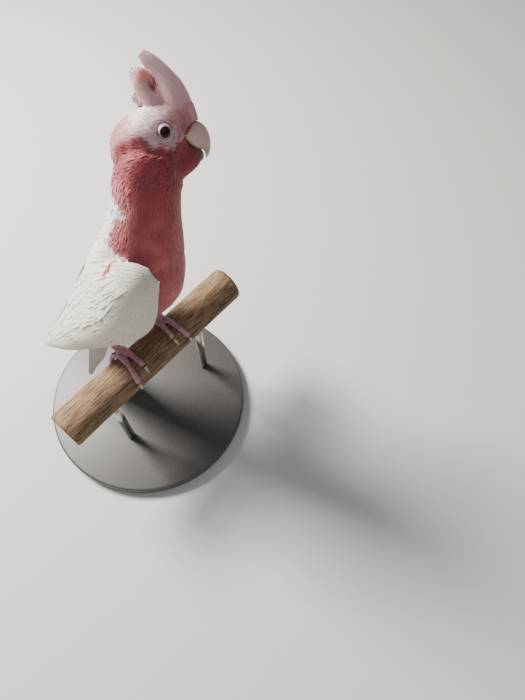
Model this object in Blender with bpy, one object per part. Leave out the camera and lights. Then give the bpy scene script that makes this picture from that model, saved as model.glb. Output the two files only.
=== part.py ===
"""Galah standing tall on a cut length of branch, held by a plain display stand.

Metres, +Z up, the bird's trunk faces -Y and its left side is +X.  The origin is
the middle of the underside of the base.
"""
import bpy
import bmesh
from math import cos, sin, pi, radians
from mathutils import Vector, Matrix

CM = 0.01
GAP = 0.0003            # air left between two touching pieces

# ---------------------------------------------------------------- sizes
BASE_RADIUS = 0.1035    # wide enough to reach under the wing tips
BASE_THICKNESS = 0.012
PERCH_TOP = 0.142       # height of the top of the branch over the floor
PERCH_RADIUS = 0.0175
PERCH_LENGTH = 0.200
PERCH_TURN = -29.6      # branch direction in the floor plane, degrees from +X
ROD_RADIUS = 0.004
ROD_SPACING = 0.055     # each rod this far along the branch from its middle
FEET_POINT = Vector((0.0, -0.023, PERCH_TOP))   # on the branch between the feet

HEAD_MIDDLE = Vector((5.12, -2.66, 18.87)) * CM  # between the eyes, from the feet point
HEAD_YAW = 21.0
HEAD_PITCH = -10.0
HEAD_ROLL = 30.0
EYE_RADIUS = 0.0042
EYE_OFFSET = 0.0152     # middle of each eyeball from the middle plane of the head

FOOT_SPACING = 0.022    # each foot this far along the branch from the feet point
TOE_RADIUS = 0.0027
CLAW_LENGTH = 0.0085

TAIL_LENGTH = 0.144
TAIL_STEEPNESS = 75.0
TAIL_TURN = 15.0        # the fan is turned a little towards the right side

BRANCH_AXIS = Vector((cos(radians(PERCH_TURN)), sin(radians(PERCH_TURN)), 0))
BRANCH_FRONT = Vector((BRANCH_AXIS.y, -BRANCH_AXIS.x, 0))

# Trunk and neck, from the vent up into the head: middle of each section, half
# its width, its depth to the breast and its depth to the back (centimetres).
TRUNK_STATIONS = [
    ((1.30, 5.45, 0.90), 0.9, 0.60, 0.60),
    ((1.35, 4.40, 2.40), 1.9, 1.45, 1.20),
    ((1.40, 3.10, 4.10), 2.6, 2.90, 1.80),
    ((1.45, 1.90, 6.20), 3.0, 4.10, 2.45),
    ((1.60, 0.80, 8.40), 3.2, 4.50, 2.72),
    ((1.80, -0.20, 10.60), 3.15, 3.95, 2.60),
    ((2.10, -1.00, 12.60), 2.85, 3.10, 2.30),
    ((2.45, -1.55, 14.30), 2.4, 2.45, 2.15),
    ((2.85, -1.90, 15.90), 2.2, 2.15, 2.20),
    ((3.40, -2.15, 17.20), 2.1, 2.10, 2.20),
    ((4.00, -2.30, 18.30), 1.9, 1.90, 2.00),
]
SHOULDER_FULLNESS = 0.05    # how far the back fills out towards the wing roots
NECK_START = 5.6        # station where the neck is parted from the trunk

# Head, from nape to face: distance forward of the eyes, top, bottom, half width.
HEAD_STATIONS = [
    (-3.08, -0.90, -1.60, 0.50),
    (-2.78, -0.20, -2.50, 1.15),
    (-2.05, 0.52, -3.05, 1.70),
    (-1.00, 1.12, -3.35, 1.98),
    (0.00, 1.50, -3.35, 1.92),
    (0.75, 1.48, -3.00, 1.58),
    (1.20, 1.32, -2.60, 1.12),
    (1.62, 1.06, -2.10, 0.72),
    (1.95, 0.80, -1.60, 0.50),
    (2.14, 0.52, -1.10, 0.30),
]
# Soft bib of feathers wrapped round the lower bill, in the same measures.
BIB_STATIONS = [
    (-0.40, -1.20, -3.40, 1.50),
    (0.60, -0.95, -3.30, 1.62),
    (1.30, -0.82, -2.85, 1.36),
    (1.90, -0.98, -2.38, 1.02),
    (2.25, -1.18, -2.02, 0.68),
    (2.38, -1.42, -1.78, 0.32),
]
HEAD_WIDEST = -0.45     # height of the widest part of the head

# Upper bill: its ridge, its cutting edges with half the width between them, and the
# lower bill behind the hook with half its depth and width (centimetres, in the head).
BILL_RIDGE = [(1.60, 0.42), (2.18, 0.40), (2.62, 0.10), (2.88, -0.35), (2.97, -0.75),
              (2.98, -1.10), (2.93, -1.40), (2.84, -1.60), (2.74, -1.72)]
BILL_EDGE = [(0.90, -0.36, 0.86), (1.22, -0.48, 0.86), (1.64, -0.84, 0.75), (2.06, -1.08, 0.60),
             (2.40, -1.14, 0.44), (2.58, -1.28, 0.30), (2.66, -1.46, 0.18), (2.69, -1.60, 0.09),
             (2.70, -1.70, 0.03)]
BILL_SCOOP = [(1.20, -1.22, 0.45, 0.64), (1.75, -1.40, 0.50, 0.60), (2.15, -1.50, 0.47, 0.48),
              (2.40, -1.54, 0.38, 0.34), (2.56, -1.58, 0.18, 0.16)]

# Wing, from the wrist to the tip of the longest quill: lower edge, middle and
# upper edge of each section, and its thickness (right wing, centimetres).
WING_STATIONS = [
    ((-1.15, -3.25, 12.0), (-1.40, -3.10, 12.7), (-1.15, -2.70, 13.3), 0.45),
    ((-1.40, -3.00, 10.8), (-2.10, -2.20, 12.2), (-1.05, -1.50, 13.4), 0.85),
    ((-1.65, -2.65, 8.6), (-2.60, -1.10, 10.7), (-0.65, 0.60, 12.2), 0.90),
    ((-1.80, -1.95, 6.5), (-2.85, -0.10, 9.0), (0.00, 2.40, 10.4), 0.85),
    ((-1.95, -0.60, 4.7), (-2.75, 1.30, 7.0), (0.70, 4.00, 8.0), 0.75),
    ((-1.98, 1.40, 3.0), (-2.30, 3.00, 5.0), (1.05, 5.50, 5.5), 0.60),
    ((-1.57, 4.07, 0.5), (-1.42, 5.28, 2.1), (1.20, 7.10, 2.4), 0.45),
    ((-0.76, 7.59, -2.9), (-0.45, 8.30, -1.8), (1.20, 9.33, -1.4), 0.30),
    ((0.30, 10.72, -5.3), (0.45, 10.88, -4.8), (1.10, 11.24, -4.5), 0.22),
    ((0.90, 12.38, -6.5), (0.97, 12.42, -6.4), (1.06, 12.47, -6.25), 0.12),
]

LEFT_WING_SETBACK = 0.009   # its front edge lies this much farther back
PAST_EDGE = 25          # a grown wing is longer across by this much per metre of growth

# Crest lobes in the head's middle plane: forward, up, half depth, half width.
CREST_FRONT = [
    (1.15, 0.20, 1.22, 1.05),
    (0.78, 1.45, 1.02, 1.00),
    (0.34, 2.36, 0.76, 0.80),
    (-0.22, 3.06, 0.52, 0.58),
    (-0.72, 3.54, 0.38, 0.40),
    (-1.12, 3.80, 0.20, 0.20),
]
CREST_REAR = [
    (-0.20, 0.80, 0.85, 0.90),
    (-0.60, 1.60, 0.72, 0.80),
    (-0.98, 2.20, 0.62, 0.66),
    (-1.25, 2.65, 0.46, 0.48),
    (-1.58, 2.92, 0.16, 0.20),
]
CREST_FINGER = [
    (-0.70, 1.10, 0.30, 0.40),
    (-1.10, 1.30, 0.26, 0.32),
    (-1.45, 1.42, 0.22, 0.24),
    (-1.68, 1.46, 0.10, 0.10),
]

COLOURS = {
    "white": (0.85, 0.83, 0.78), "rose": (0.62, 0.20, 0.22),
    "blush": (0.80, 0.58, 0.60), "horn": (0.80, 0.72, 0.60),
    "skin": (0.72, 0.62, 0.66), "eye": (0.03, 0.02, 0.02),
    "foot": (0.55, 0.32, 0.36), "claw": (0.60, 0.52, 0.48),
    "wood": (0.42, 0.32, 0.22), "stand": (0.30, 0.30, 0.31),
    "steel": (0.55, 0.55, 0.56),
}


# ---------------------------------------------------------------- helpers
def clear_scene():
    for item in list(bpy.data.objects):
        bpy.data.objects.remove(item, do_unlink=True)


def material(name):
    found = bpy.data.materials.new(name)
    found.use_nodes = True
    shader = found.node_tree.nodes["Principled BSDF"]
    shader.inputs["Base Color"].default_value = (*COLOURS[name.split("-")[0]], 1)
    return found


def new_object(name, colour):
    mesh = bpy.data.meshes.new(name)
    item = bpy.data.objects.new(name, mesh)
    bpy.context.collection.objects.link(item)
    mesh.materials.append(material(colour + "-" + name))
    return item


def fill(item, build, smooth=True):
    """Run a bmesh building step and store its result in the object."""
    work = bmesh.new()
    build(work)
    bmesh.ops.recalc_face_normals(work, faces=work.faces)
    for face in work.faces:
        face.smooth = smooth
    work.to_mesh(item.data)
    work.free()
    return item


def skin_rings(work, rings):
    """Join rings of points into one closed tube with flat ends."""
    loops = [[work.verts.new(point) for point in ring] for ring in rings]
    count = len(loops[0])
    for low, high in zip(loops, loops[1:]):
        for i in range(count):
            j = (i + 1) % count
            work.faces.new((low[i], low[j], high[j], high[i]))
    work.faces.new(list(reversed(loops[0])))
    work.faces.new(loops[-1])


def loft(name, colour, rings, offset=FEET_POINT):
    item = new_object(name, colour)
    moved = [[point + offset for point in ring] for ring in rings]
    return fill(item, lambda work: skin_rings(work, moved))


def oval(middle, side, front, half_width, front_depth, back_depth, count, square=0.0):
    """Ring of points with its own depth to the front and to the back.

    A square back fills out the corners of the half behind the middle."""
    ring = []
    for i in range(count):
        turn = 2 * pi * i / count
        across, ahead = cos(turn), sin(turn)
        depth = front_depth if ahead > 0 else back_depth
        if ahead < 0 and square:
            swell = 1 + square * (2 * abs(across * ahead)) ** 2
            across, ahead = across * swell, ahead * swell
        ring.append(middle + side * half_width * across + front * depth * ahead)
    return ring


def between(rows, place):
    """Smooth value of a table of numbers at a place between its rows."""
    last = len(rows) - 1
    i = min(int(place), last - 1)
    t = place - i
    a, b, c, d = (rows[max(0, min(last, i + k))] for k in (-1, 0, 1, 2))
    return [0.5 * (2 * q + (r - p) * t + (2 * p - 5 * q + 4 * r - s) * t * t
                   + (3 * q - p - 3 * r + s) * t ** 3)
            for p, q, r, s in zip(a, b, c, d)]


def steps(first, last, count):
    return [first + (last - first) * i / (count - 1) for i in range(count)]


def boolean(item, other, operation):
    bpy.context.view_layer.objects.active = item
    cut = item.modifiers.new("cut", "BOOLEAN")
    cut.operation = operation
    cut.solver = "EXACT"
    cut.object = other
    bpy.ops.object.modifier_apply(modifier=cut.name)
    bpy.data.objects.remove(other, do_unlink=True)


def keep_largest(item):
    """Drop loose slivers that trimming leaves beside the main body."""
    work = bmesh.new()
    work.from_mesh(item.data)
    left = set(work.verts)
    bodies = []
    while left:
        body, edge = set(), [left.pop()]
        while edge:
            vert = edge.pop()
            body.add(vert)
            for link in vert.link_edges:
                other = link.other_vert(vert)
                if other in left:
                    left.discard(other)
                    edge.append(other)
        bodies.append(body)
    bodies.sort(key=len)
    bmesh.ops.delete(work, geom=[vert for body in bodies[:-1] for vert in body], context="VERTS")
    work.to_mesh(item.data)
    work.free()


def take_away(item, other):
    boolean(item, other, "DIFFERENCE")
    keep_largest(item)


def join(item, other):
    boolean(item, other, "UNION")


# ---------------------------------------------------------------- head frame
def head_axes():
    yaw, pitch, roll = radians(HEAD_YAW), radians(HEAD_PITCH), radians(HEAD_ROLL)
    forward = Vector((sin(yaw) * cos(pitch), -cos(yaw) * cos(pitch), sin(pitch)))
    right = forward.cross(Vector((0, 0, 1))).normalized()
    up = right.cross(forward)
    turned_right = right * cos(roll) + up * sin(roll)
    turned_up = up * cos(roll) - right * sin(roll)
    return forward, turned_up, turned_right


FORWARD, UPWARD, RIGHTWARD = head_axes()


def head_point(forward, up, right=0.0):
    """Place in the head, given in centimetres from the point between the eyes."""
    return HEAD_MIDDLE + (FORWARD * forward + UPWARD * up + RIGHTWARD * right) * CM


# ---------------------------------------------------------------- body
def trunk_ring(place, grow=0.0, count=24):
    rows = [(*middle, width, front, back) for middle, width, front, back in TRUNK_STATIONS]
    x, y, z, width, front, back = between(rows, place)
    ahead = Vector(between(rows, min(place + 0.3, len(rows) - 1))[:3])
    behind = Vector(between(rows, max(place - 0.3, 0))[:3])
    along = (ahead - behind).normalized()
    side = Vector((1, 0, 0))
    side = (side - along * side.dot(along)).normalized()
    facing = along.cross(side)
    if facing.y > 0:
        facing = -facing
    return oval(Vector((x, y, z)) * CM, side, facing,
                width * CM + grow, front * CM + grow, back * CM + grow, count,
                SHOULDER_FULLNESS * max(0.0, sin(pi * place / 8.0)) if place < 8 else 0.0)


def trunk_piece(name, colour, first, last, count, grow=0.0):
    rings = [trunk_ring(place, grow) for place in steps(first, last, count)]
    return loft(name, colour, rings)


def head_rings(grow=0.0, rows=HEAD_STATIONS, widest=HEAD_WIDEST, count=20, slices=13):
    rings = []
    first, last = rows[0][0], rows[-1][0]
    for place in steps(0, len(rows) - 1, slices):
        forward, top, bottom, width = between(rows, place)
        forward += (forward - (first + last) / 2) * grow / CM * 2 / (last - first)
        level = min(max(widest, bottom + 0.35 * (top - bottom)), bottom + 0.65 * (top - bottom))
        rings.append(oval(head_point(forward, level), RIGHTWARD, UPWARD, width * CM + grow,
                          (top - level) * CM + grow, (level - bottom) * CM + grow, count))
    return rings


def head_copy(grow=0.0):
    """Head with its bib, grown a little when it trims a neighbour."""
    item = loft("cutter", "blush", head_rings(grow))
    join(item, loft("bib", "blush", head_rings(grow, BIB_STATIONS, -2.0, 16, 8)))
    return item


def crest_piece(name, rows, colour, count=5):
    rings = []
    for place in steps(0, len(rows) - 1, count):
        forward, up, depth, width = between(rows, place)
        ahead = between(rows, min(place + 0.3, len(rows) - 1))
        behind = between(rows, max(place - 0.3, 0))
        along = Vector((ahead[0] - behind[0], ahead[1] - behind[1])).normalized()
        across = FORWARD * along.y - UPWARD * along.x
        rings.append(oval(head_point(forward, up), RIGHTWARD, across,
                          width * CM, depth * CM, depth * CM, 14))
    item = loft(name, colour, rings)
    take_away(item, head_copy(GAP))
    return item


def ball(name, colour, middle, radius, rows=8):
    item = new_object(name, colour)
    place = Matrix.Translation(middle + FEET_POINT)
    return fill(item, lambda work: bmesh.ops.create_uvsphere(
        work, u_segments=2 * rows, v_segments=rows, radius=radius, matrix=place))


def ring_round_eye(name, side, major, minor):
    """Fleshy ring of bare skin round one eye."""
    middle = head_point(0.10, 0, side * 1.80)
    facing = (RIGHTWARD * side + FORWARD * 0.30 + UPWARD * 0.12).normalized()
    ahead = (FORWARD - facing * FORWARD.dot(facing)).normalized()
    above = facing.cross(ahead)
    ring = []
    for i in range(20):
        turn = 2 * pi * i / 20
        out = ahead * cos(turn) * 1.08 + above * sin(turn)
        ring.append([middle + out * (major + minor * cos(a)) + facing * minor * 0.8 * sin(a)
                     for a in (2 * pi * k / 6 for k in range(6))])

    def build(work):
        loops = [[work.verts.new(p + FEET_POINT) for p in loop] for loop in ring]
        for i in range(20):
            one, two = loops[i], loops[(i + 1) % 20]
            for k in range(6):
                m = (k + 1) % 6
                work.faces.new((one[k], one[m], two[m], two[k]))
    return fill(new_object(name, "skin"), build)


def bill_upper_rings(grow=0.0):
    """Deep hooked upper bill, each section reaching from the ridge to the cutting edges."""
    rings = []
    for place in steps(0, len(BILL_RIDGE) - 1, 9):
        ridge, edge = between(BILL_RIDGE, place), between(BILL_EDGE, place)
        high, low = head_point(*ridge), head_point(*edge[:2])
        depth = (high - low).length
        rings.append(oval(low.lerp(high, 0.22), RIGHTWARD, (high - low).normalized(),
                          edge[2] * CM + grow, depth * 0.78 + grow, depth * 0.34 + grow, 14))
    return rings


def bill_lower_rings(grow=0.0):
    """Scoop of the lower bill, lying behind the hook."""
    rings = []
    for place in steps(0, len(BILL_SCOOP) - 1, 5):
        forward, up, depth, width = between(BILL_SCOOP, place)
        rings.append(oval(head_point(forward, up), RIGHTWARD, UPWARD, width * CM + grow,
                          depth * CM + grow, depth * CM + grow, 12))
    return rings


def build_head():
    head = head_copy()
    head.name = "head"
    for side in (-1, 1):
        take_away(head, ball("cutter", "eye", head_point(0, 0, side * EYE_OFFSET / CM),
                             EYE_RADIUS + GAP, 8))
    take_away(head, loft("cutter", "horn", bill_upper_rings(GAP)))
    take_away(head, loft("cutter", "horn", bill_lower_rings(GAP)))
    for name, side in (("right", 1), ("left", -1)):
        middle = head_point(0, 0, side * EYE_OFFSET / CM)
        ball("eye_" + name, "eye", middle, EYE_RADIUS)
        ring = ring_round_eye("eye_ring_" + name, side, 0.0054, 0.0013)
        take_away(ring, head_copy(GAP))
        take_away(ring, ball("cutter", "eye", middle, EYE_RADIUS + GAP))
    loft("bill_upper", "horn", bill_upper_rings())
    lower = loft("bill_lower", "horn", bill_lower_rings())
    take_away(lower, loft("cutter", "horn", bill_upper_rings(GAP)))
    crest_rear = crest_piece("crest_rear", CREST_REAR, "blush")
    crest_front = crest_piece("crest_front", CREST_FRONT, "blush", 7)
    take_away(crest_rear, crest_copy(CREST_FRONT))
    finger = crest_piece("crest_finger", CREST_FINGER, "blush", 4)
    take_away(finger, crest_copy(CREST_REAR))


def crest_copy(rows):
    """Slightly fuller copy of a crest lobe, used only to trim its neighbour."""
    fuller = [(f, u, d + GAP / CM, w + GAP / CM) for f, u, d, w in rows]
    return crest_piece("cutter", fuller, "blush", 7)


def build_trunk():
    last = len(TRUNK_STATIONS) - 1
    trunk_piece("trunk", "rose", 0, NECK_START, 13)
    neck = trunk_piece("neck", "rose", NECK_START + 0.03, last, 8)
    take_away(neck, head_copy(GAP))


# ---------------------------------------------------------------- wings
def middle_plane(height):
    """Sideways place of the body's middle at a height over the perch."""
    return (1.40 + 0.06 * max(0.0, height / CM - 5.0)) * CM


def wing_rings(side, grow=0.0, count=17):
    """Loft rings of a folded wing; a grown one also reaches past its edges."""
    rows = [(*low, *mid, *top, thick) for low, mid, top, thick in WING_STATIONS]
    rings = []
    for place in steps(0, len(rows) - 1, count):
        row = between(rows, place)
        low, mid, top = Vector(row[0:3]), Vector(row[3:6]), Vector(row[6:9])
        thick = row[9] * CM / 2
        ahead = Vector(between(rows, min(place + 0.3, len(rows) - 1))[3:6])
        behind = Vector(between(rows, max(place - 0.3, 0))[3:6])
        inward = (ahead - behind).cross(top - low).normalized()
        set_back = LEFT_WING_SETBACK * max(0.0, 1 - place / 6) if side > 0 else 0.0
        outer, inner = [], []
        for i in range(9):
            w = i / 8 + (i / 4 - 1) * grow * PAST_EDGE
            point = (low * (1 - w) * (1 - 2 * w) + mid * 4 * w * (1 - w)
                     + top * w * (2 * w - 1)) * CM
            point.y += set_back * (1 - w)
            half = thick * (0.28 + 0.72 * sin(pi * (0.08 + 0.84 * i / 8))) + grow
            outer.append(point - inward * half)
            inner.append(point + inward * half)
        ring = outer + list(reversed(inner))
        if side > 0:
            ring = [Vector((2 * middle_plane(p.z) - p.x, p.y, p.z)) for p in ring]
        rings.append(ring)
    return rings


def build_wings():
    last = len(TRUNK_STATIONS) - 1
    for name, side in (("right", -1), ("left", 1)):
        wing = loft("wing_" + name, "white", wing_rings(side))
        take_away(wing, trunk_piece("cutter", "rose", 0, last, 22, GAP))


# ---------------------------------------------------------------- tail
def build_tail():
    """Folded tail: twelve overlapped quills closed into one narrow fan."""
    a, turn = radians(TAIL_STEEPNESS), radians(TAIL_TURN)
    down = Vector((0, cos(a), -sin(a)))
    side = Vector((cos(turn), -sin(turn), 0))
    side = (side - down * side.dot(down)).normalized()
    back = side.cross(down)
    root = Vector((1.42, 4.55, 2.5)) * CM
    rings = []
    for place in steps(0, 1, 8):
        width = (1.25 + 0.70 * place ** 0.8) * CM
        if place > 0.93:
            width *= 0.86
        thick = (0.42 - 0.26 * place) * CM
        middle = root + down * TAIL_LENGTH * place
        ring = []
        for i in range(16):
            spread = 2 * pi * i / 16
            across = cos(spread)
            drop = -0.22 * CM * (across * across)
            trim = down * (-0.55 * CM * across * across if place == 1 else 0)
            ring.append(middle + side * width * across + trim
                        + back * (drop + thick * sin(spread)))
        rings.append(ring)
    tail = loft("tail", "white", rings)
    last = len(TRUNK_STATIONS) - 1
    take_away(tail, trunk_piece("cutter", "rose", 0, last, 22, GAP))
    for side in (-1, 1):
        take_away(tail, loft("cutter", "white", wing_rings(side, GAP)))


# ---------------------------------------------------------------- legs
def on_branch(along, turn, lift):
    """Point a little over the bark: along the branch and turned round it."""
    a = radians(turn)
    out = BRANCH_FRONT * sin(a) + Vector((0, 0, 1)) * cos(a)
    middle = BRANCH_AXIS * along - Vector((0, 0, PERCH_RADIUS))
    return middle + out * (PERCH_RADIUS + GAP * 1.5 + lift)


def tube(name, colour, points, radii, count=8, flat=1.0):
    """Round tube through points, its radius set at each of them."""
    rings = []
    for i, point in enumerate(points):
        ahead = points[min(i + 1, len(points) - 1)]
        behind = points[max(i - 1, 0)]
        along = (ahead - behind).normalized()
        side = along.cross(BRANCH_AXIS).normalized()
        other = along.cross(side)
        rings.append(oval(point, side, other, radii[i], radii[i] * flat, radii[i] * flat, count))
    return loft(name, colour, rings)


# Each toe: start and end place along the branch (outward positive, centimetres),
# turn round the branch where it ends, length share of the claw.
TOES = {
    "outer_front": (0.25, 0.85, 62.0, 1.0),
    "inner_front": (-0.25, -0.42, 36.0, 0.85),
    "outer_back": (0.30, 0.95, -112.0, 0.95),
    "inner_back": (-0.30, -0.55, -98.0, 0.80),
}


def build_leg(name, side):
    foot_at = FOOT_SPACING * side
    heel = on_branch(foot_at, -26, 0.0050)
    ankle = heel + Vector((side * 0.0015, 0.004, 0.017))
    foot = tube("foot_" + name, "foot", [heel - Vector((0, 0, 0.0015)), heel.lerp(ankle, 0.5), ankle],
                [0.0044, 0.0032, 0.0036])
    for toe, (start, end, turn, claw) in TOES.items():
        points, radii = [], []
        for t in steps(0, 1, 7):
            radius = TOE_RADIUS * (1.15 - 0.40 * t + 0.12 * sin(3 * pi * t))
            along = foot_at + side * (start + (end - start) * t) * CM
            points.append(on_branch(along, -24 + (turn + 24) * t, radius))
            radii.append(radius)
        join(foot, tube("part", "foot", points, radii))
        along = foot_at + side * end * CM
        sign = 1 if turn > 0 else -1
        tips, sizes = [], []
        for t in steps(0, 1, 5):
            reach = 28 * claw * t
            lift = TOE_RADIUS * (0.80 + 0.50 * sin(pi * t) - 0.55 * t)
            tips.append(on_branch(along + side * 0.0004 * t, turn + sign * (4.9 + reach), lift))
            sizes.append(0.0016 * (1 - 0.86 * t) + 0.0001)
        nail = tube("claw_" + name + "_" + toe, "claw", tips, sizes, 6)
        take_away(nail, tube("cutter", "foot", points, [r + GAP for r in radii]))
    return foot, ankle


def thigh_rings(side, ankle, grow=0.0):
    hip = Vector((1.45 + side * 1.55, 1.7, 5.6)) * CM
    rings = []
    for t in steps(0, 1, 7):
        middle = hip.lerp(ankle + Vector((0, 0, 0.0015)), t)
        middle.y -= 0.006 * sin(pi * t)
        radius = (1.60 - 1.10 * t ** 1.5) * CM + grow
        rings.append(oval(middle, Vector((1, 0, 0)), Vector((0, -1, 0)),
                          radius * 0.95, radius * 1.15, radius * 1.15, 14))
    return rings


def build_legs():
    last = len(TRUNK_STATIONS) - 1
    for name, side in (("right", -1), ("left", 1)):
        foot, ankle = build_leg(name, side)
        thigh = loft("thigh_" + name, "white", thigh_rings(side, ankle))
        take_away(thigh, trunk_piece("cutter", "rose", 0, last, 22, GAP))
        for piece in (thigh, foot):
            take_away(piece, loft("cutter", "white", wing_rings(side, 2 * GAP)))
        take_away(foot, loft("cutter", "white", thigh_rings(side, ankle, GAP)))


# ---------------------------------------------------------------- perch and stand
def perch_rings(grow=0.0):
    """Weathered bare branch with a long drying crack and sawn ends."""
    rings = []
    for t in steps(-0.5, 0.5, 11):
        middle = FEET_POINT + BRANCH_AXIS * PERCH_LENGTH * t - Vector((0, 0, PERCH_RADIUS))
        ring = []
        for i in range(28):
            turn = 2 * pi * i / 28
            wave = 0.00035 * sin(3 * turn + 5 * t) + 0.0003 * sin(9 * t + turn)
            wave -= 0.0007 * (1 - cos(turn)) * 0.2
            crack = 0.0022 if i == 10 else 0.0
            radius = PERCH_RADIUS + wave - 0.0003 - crack + grow
            out = BRANCH_FRONT * sin(turn) + Vector((0, 0, 1)) * cos(turn)
            ring.append(middle + out * radius)
        rings.append(ring)
    return rings


def build_stand():
    loft("perch", "wood", perch_rings(), Vector((0, 0, 0)))
    base = new_object("stand_base", "stand")
    profile = [(BASE_RADIUS - 0.002, 0), (BASE_RADIUS, 0.002),
               (BASE_RADIUS, BASE_THICKNESS - 0.003), (BASE_RADIUS - 0.003, BASE_THICKNESS)]
    rings = [[Vector((r * cos(2 * pi * i / 40), r * sin(2 * pi * i / 40), z)) for i in range(40)]
             for r, z in profile]
    fill(base, lambda work: skin_rings(work, rings), smooth=False)
    for name, side in (("right", -1), ("left", 1)):
        foot = FEET_POINT + BRANCH_AXIS * ROD_SPACING * side
        levels = (BASE_THICKNESS + GAP, PERCH_TOP - PERCH_RADIUS)
        rings = [[Vector((foot.x + ROD_RADIUS * cos(2 * pi * i / 20),
                          foot.y + ROD_RADIUS * sin(2 * pi * i / 20), z)) for i in range(20)]
                 for z in levels]
        rod = loft("stand_rod_" + name, "steel", rings, Vector((0, 0, 0)))
        take_away(rod, loft("cutter", "wood", perch_rings(GAP), Vector((0, 0, 0))))


def main():
    clear_scene()
    build_trunk()
    build_head()
    build_wings()
    build_tail()
    build_legs()
    build_stand()


main()
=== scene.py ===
import random
from math import atan2, ceil, cos, exp, hypot, pi, radians, sin, sqrt

import bmesh
import bpy
import numpy as np
from mathutils import Matrix, Vector, noise
from mathutils.bvhtree import BVHTree


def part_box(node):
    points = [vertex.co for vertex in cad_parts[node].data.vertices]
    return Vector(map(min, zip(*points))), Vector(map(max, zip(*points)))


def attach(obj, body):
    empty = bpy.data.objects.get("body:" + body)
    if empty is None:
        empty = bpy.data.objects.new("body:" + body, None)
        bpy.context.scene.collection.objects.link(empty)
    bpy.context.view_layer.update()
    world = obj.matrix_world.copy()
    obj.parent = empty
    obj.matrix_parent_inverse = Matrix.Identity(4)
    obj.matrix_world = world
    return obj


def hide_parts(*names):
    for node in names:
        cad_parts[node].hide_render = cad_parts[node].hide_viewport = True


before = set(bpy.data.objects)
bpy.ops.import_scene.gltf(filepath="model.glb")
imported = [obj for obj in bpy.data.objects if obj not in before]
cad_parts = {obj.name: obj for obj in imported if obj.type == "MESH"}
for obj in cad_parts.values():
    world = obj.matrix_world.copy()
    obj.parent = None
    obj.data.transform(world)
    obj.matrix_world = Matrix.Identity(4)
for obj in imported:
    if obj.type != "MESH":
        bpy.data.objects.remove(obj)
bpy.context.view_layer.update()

random.seed(7)
noise.seed_set(7)       # noise vectors differ from run to run without it
mm = 0.001
cm = 0.01

# The bird stands on a branch; places on it are given from the point between its feet.
pose = {
    "feet": Vector((0.0, -0.023, 0.142)),
    "branchTurn": -29.6,        # degrees from the left side of the trunk
    "headMiddle": Vector((5.12, -2.66, 18.87)),   # centimetres from the feet point
    "headYaw": 21.0,
    "headPitch": -10.0,
    "headRoll": 30.0,
}


def place(x, y, z):
    return pose["feet"] + Vector((x, y, z)) * cm


def headAxes():
    yaw, pitch, roll = (radians(pose[key]) for key in ("headYaw", "headPitch", "headRoll"))
    forward = Vector((sin(yaw) * cos(pitch), -cos(yaw) * cos(pitch), sin(pitch)))
    right = forward.cross(Vector((0, 0, 1))).normalized()
    up = right.cross(forward)
    return forward, up * cos(roll) - right * sin(roll), right * cos(roll) + up * sin(roll)


headForward, headUp, headRight = headAxes()
headMiddle = place(*pose["headMiddle"])
branchAlong = Vector((cos(radians(pose["branchTurn"])), sin(radians(pose["branchTurn"])), 0))
branchFront = Vector((branchAlong.y, -branchAlong.x, 0))


def headPoint(forward, up, right=0.0):
    return headMiddle + (headForward * forward + headUp * up + headRight * right) * cm


def inHead(point):
    away = (point - headMiddle) / cm
    return away.dot(headForward), away.dot(headUp), away.dot(headRight)


def inHeadAll(points):
    away = (points - np.array(headMiddle)) / cm
    return [away @ np.array(axis) for axis in (headForward, headUp, headRight)]


def smooth(low, high, value):
    t = np.clip((value - low) / (high - low), 0.0, 1.0)
    t = t * t * (3 - 2 * t)
    return t if isinstance(value, np.ndarray) else float(t)


def between(rows, at):
    # a smooth row of numbers between the rows of a table
    last = len(rows) - 1
    i = max(0, min(int(at), last - 1))
    t = at - i
    a, b, c, d = (np.array(rows[max(0, min(last, i + k))], float) for k in (-1, 0, 1, 2))
    return 0.5 * (2 * b + (c - a) * t + (2 * a - 5 * b + 4 * c - d) * t * t
                  + (3 * b - a - 3 * c + d) * t ** 3)


def scatter(spread):
    return Vector([random.gauss(0, spread) for _ in range(3)])


# Colours and materials.
def linear(hexText):
    channels = [int(hexText[i:i + 2], 16) / 255 for i in (1, 3, 5)]
    return np.array([c / 12.92 if c <= 0.04045 else ((c + 0.055) / 1.055) ** 2.4 for c in channels])


def addNode(tree, kind, settings=None, stops=(), **inputs):
    # adds a node, or takes the one already there by that name, and gives it its settings, the
    # stops of a ramp, values and links; i6 is the input with that number
    node = tree.nodes.get(kind) or tree.nodes.new(kind)
    for name, value in (settings or {}).items():
        setattr(node, name, value)
    for _ in stops[2:]:
        node.color_ramp.elements.new(0.5)
    for element, (at, colour) in zip(node.color_ramp.elements if stops else (), stops):
        element.position = at
        element.color = (*(linear(colour) if isinstance(colour, str) else (colour,) * 3), 1)
    for name, value in inputs.items():
        socket = node.inputs[int(name[1:]) if name[1:].isdigit() else name.replace("_", " ")]
        if isinstance(value, bpy.types.Node):
            value = value.outputs[0]
        if isinstance(value, bpy.types.NodeSocket):
            tree.links.new(value, socket)
        else:
            socket.default_value = value
    return node


multiply = {"data_type": "RGBA", "blend_type": "MULTIPLY"}
plumage = {"attribute_name": "plumage"}


def newMaterial(name, **settings):
    made = bpy.data.materials.new(name)
    made.use_nodes = True
    addNode(made.node_tree, "Principled BSDF", **settings)
    return made, made.node_tree


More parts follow.
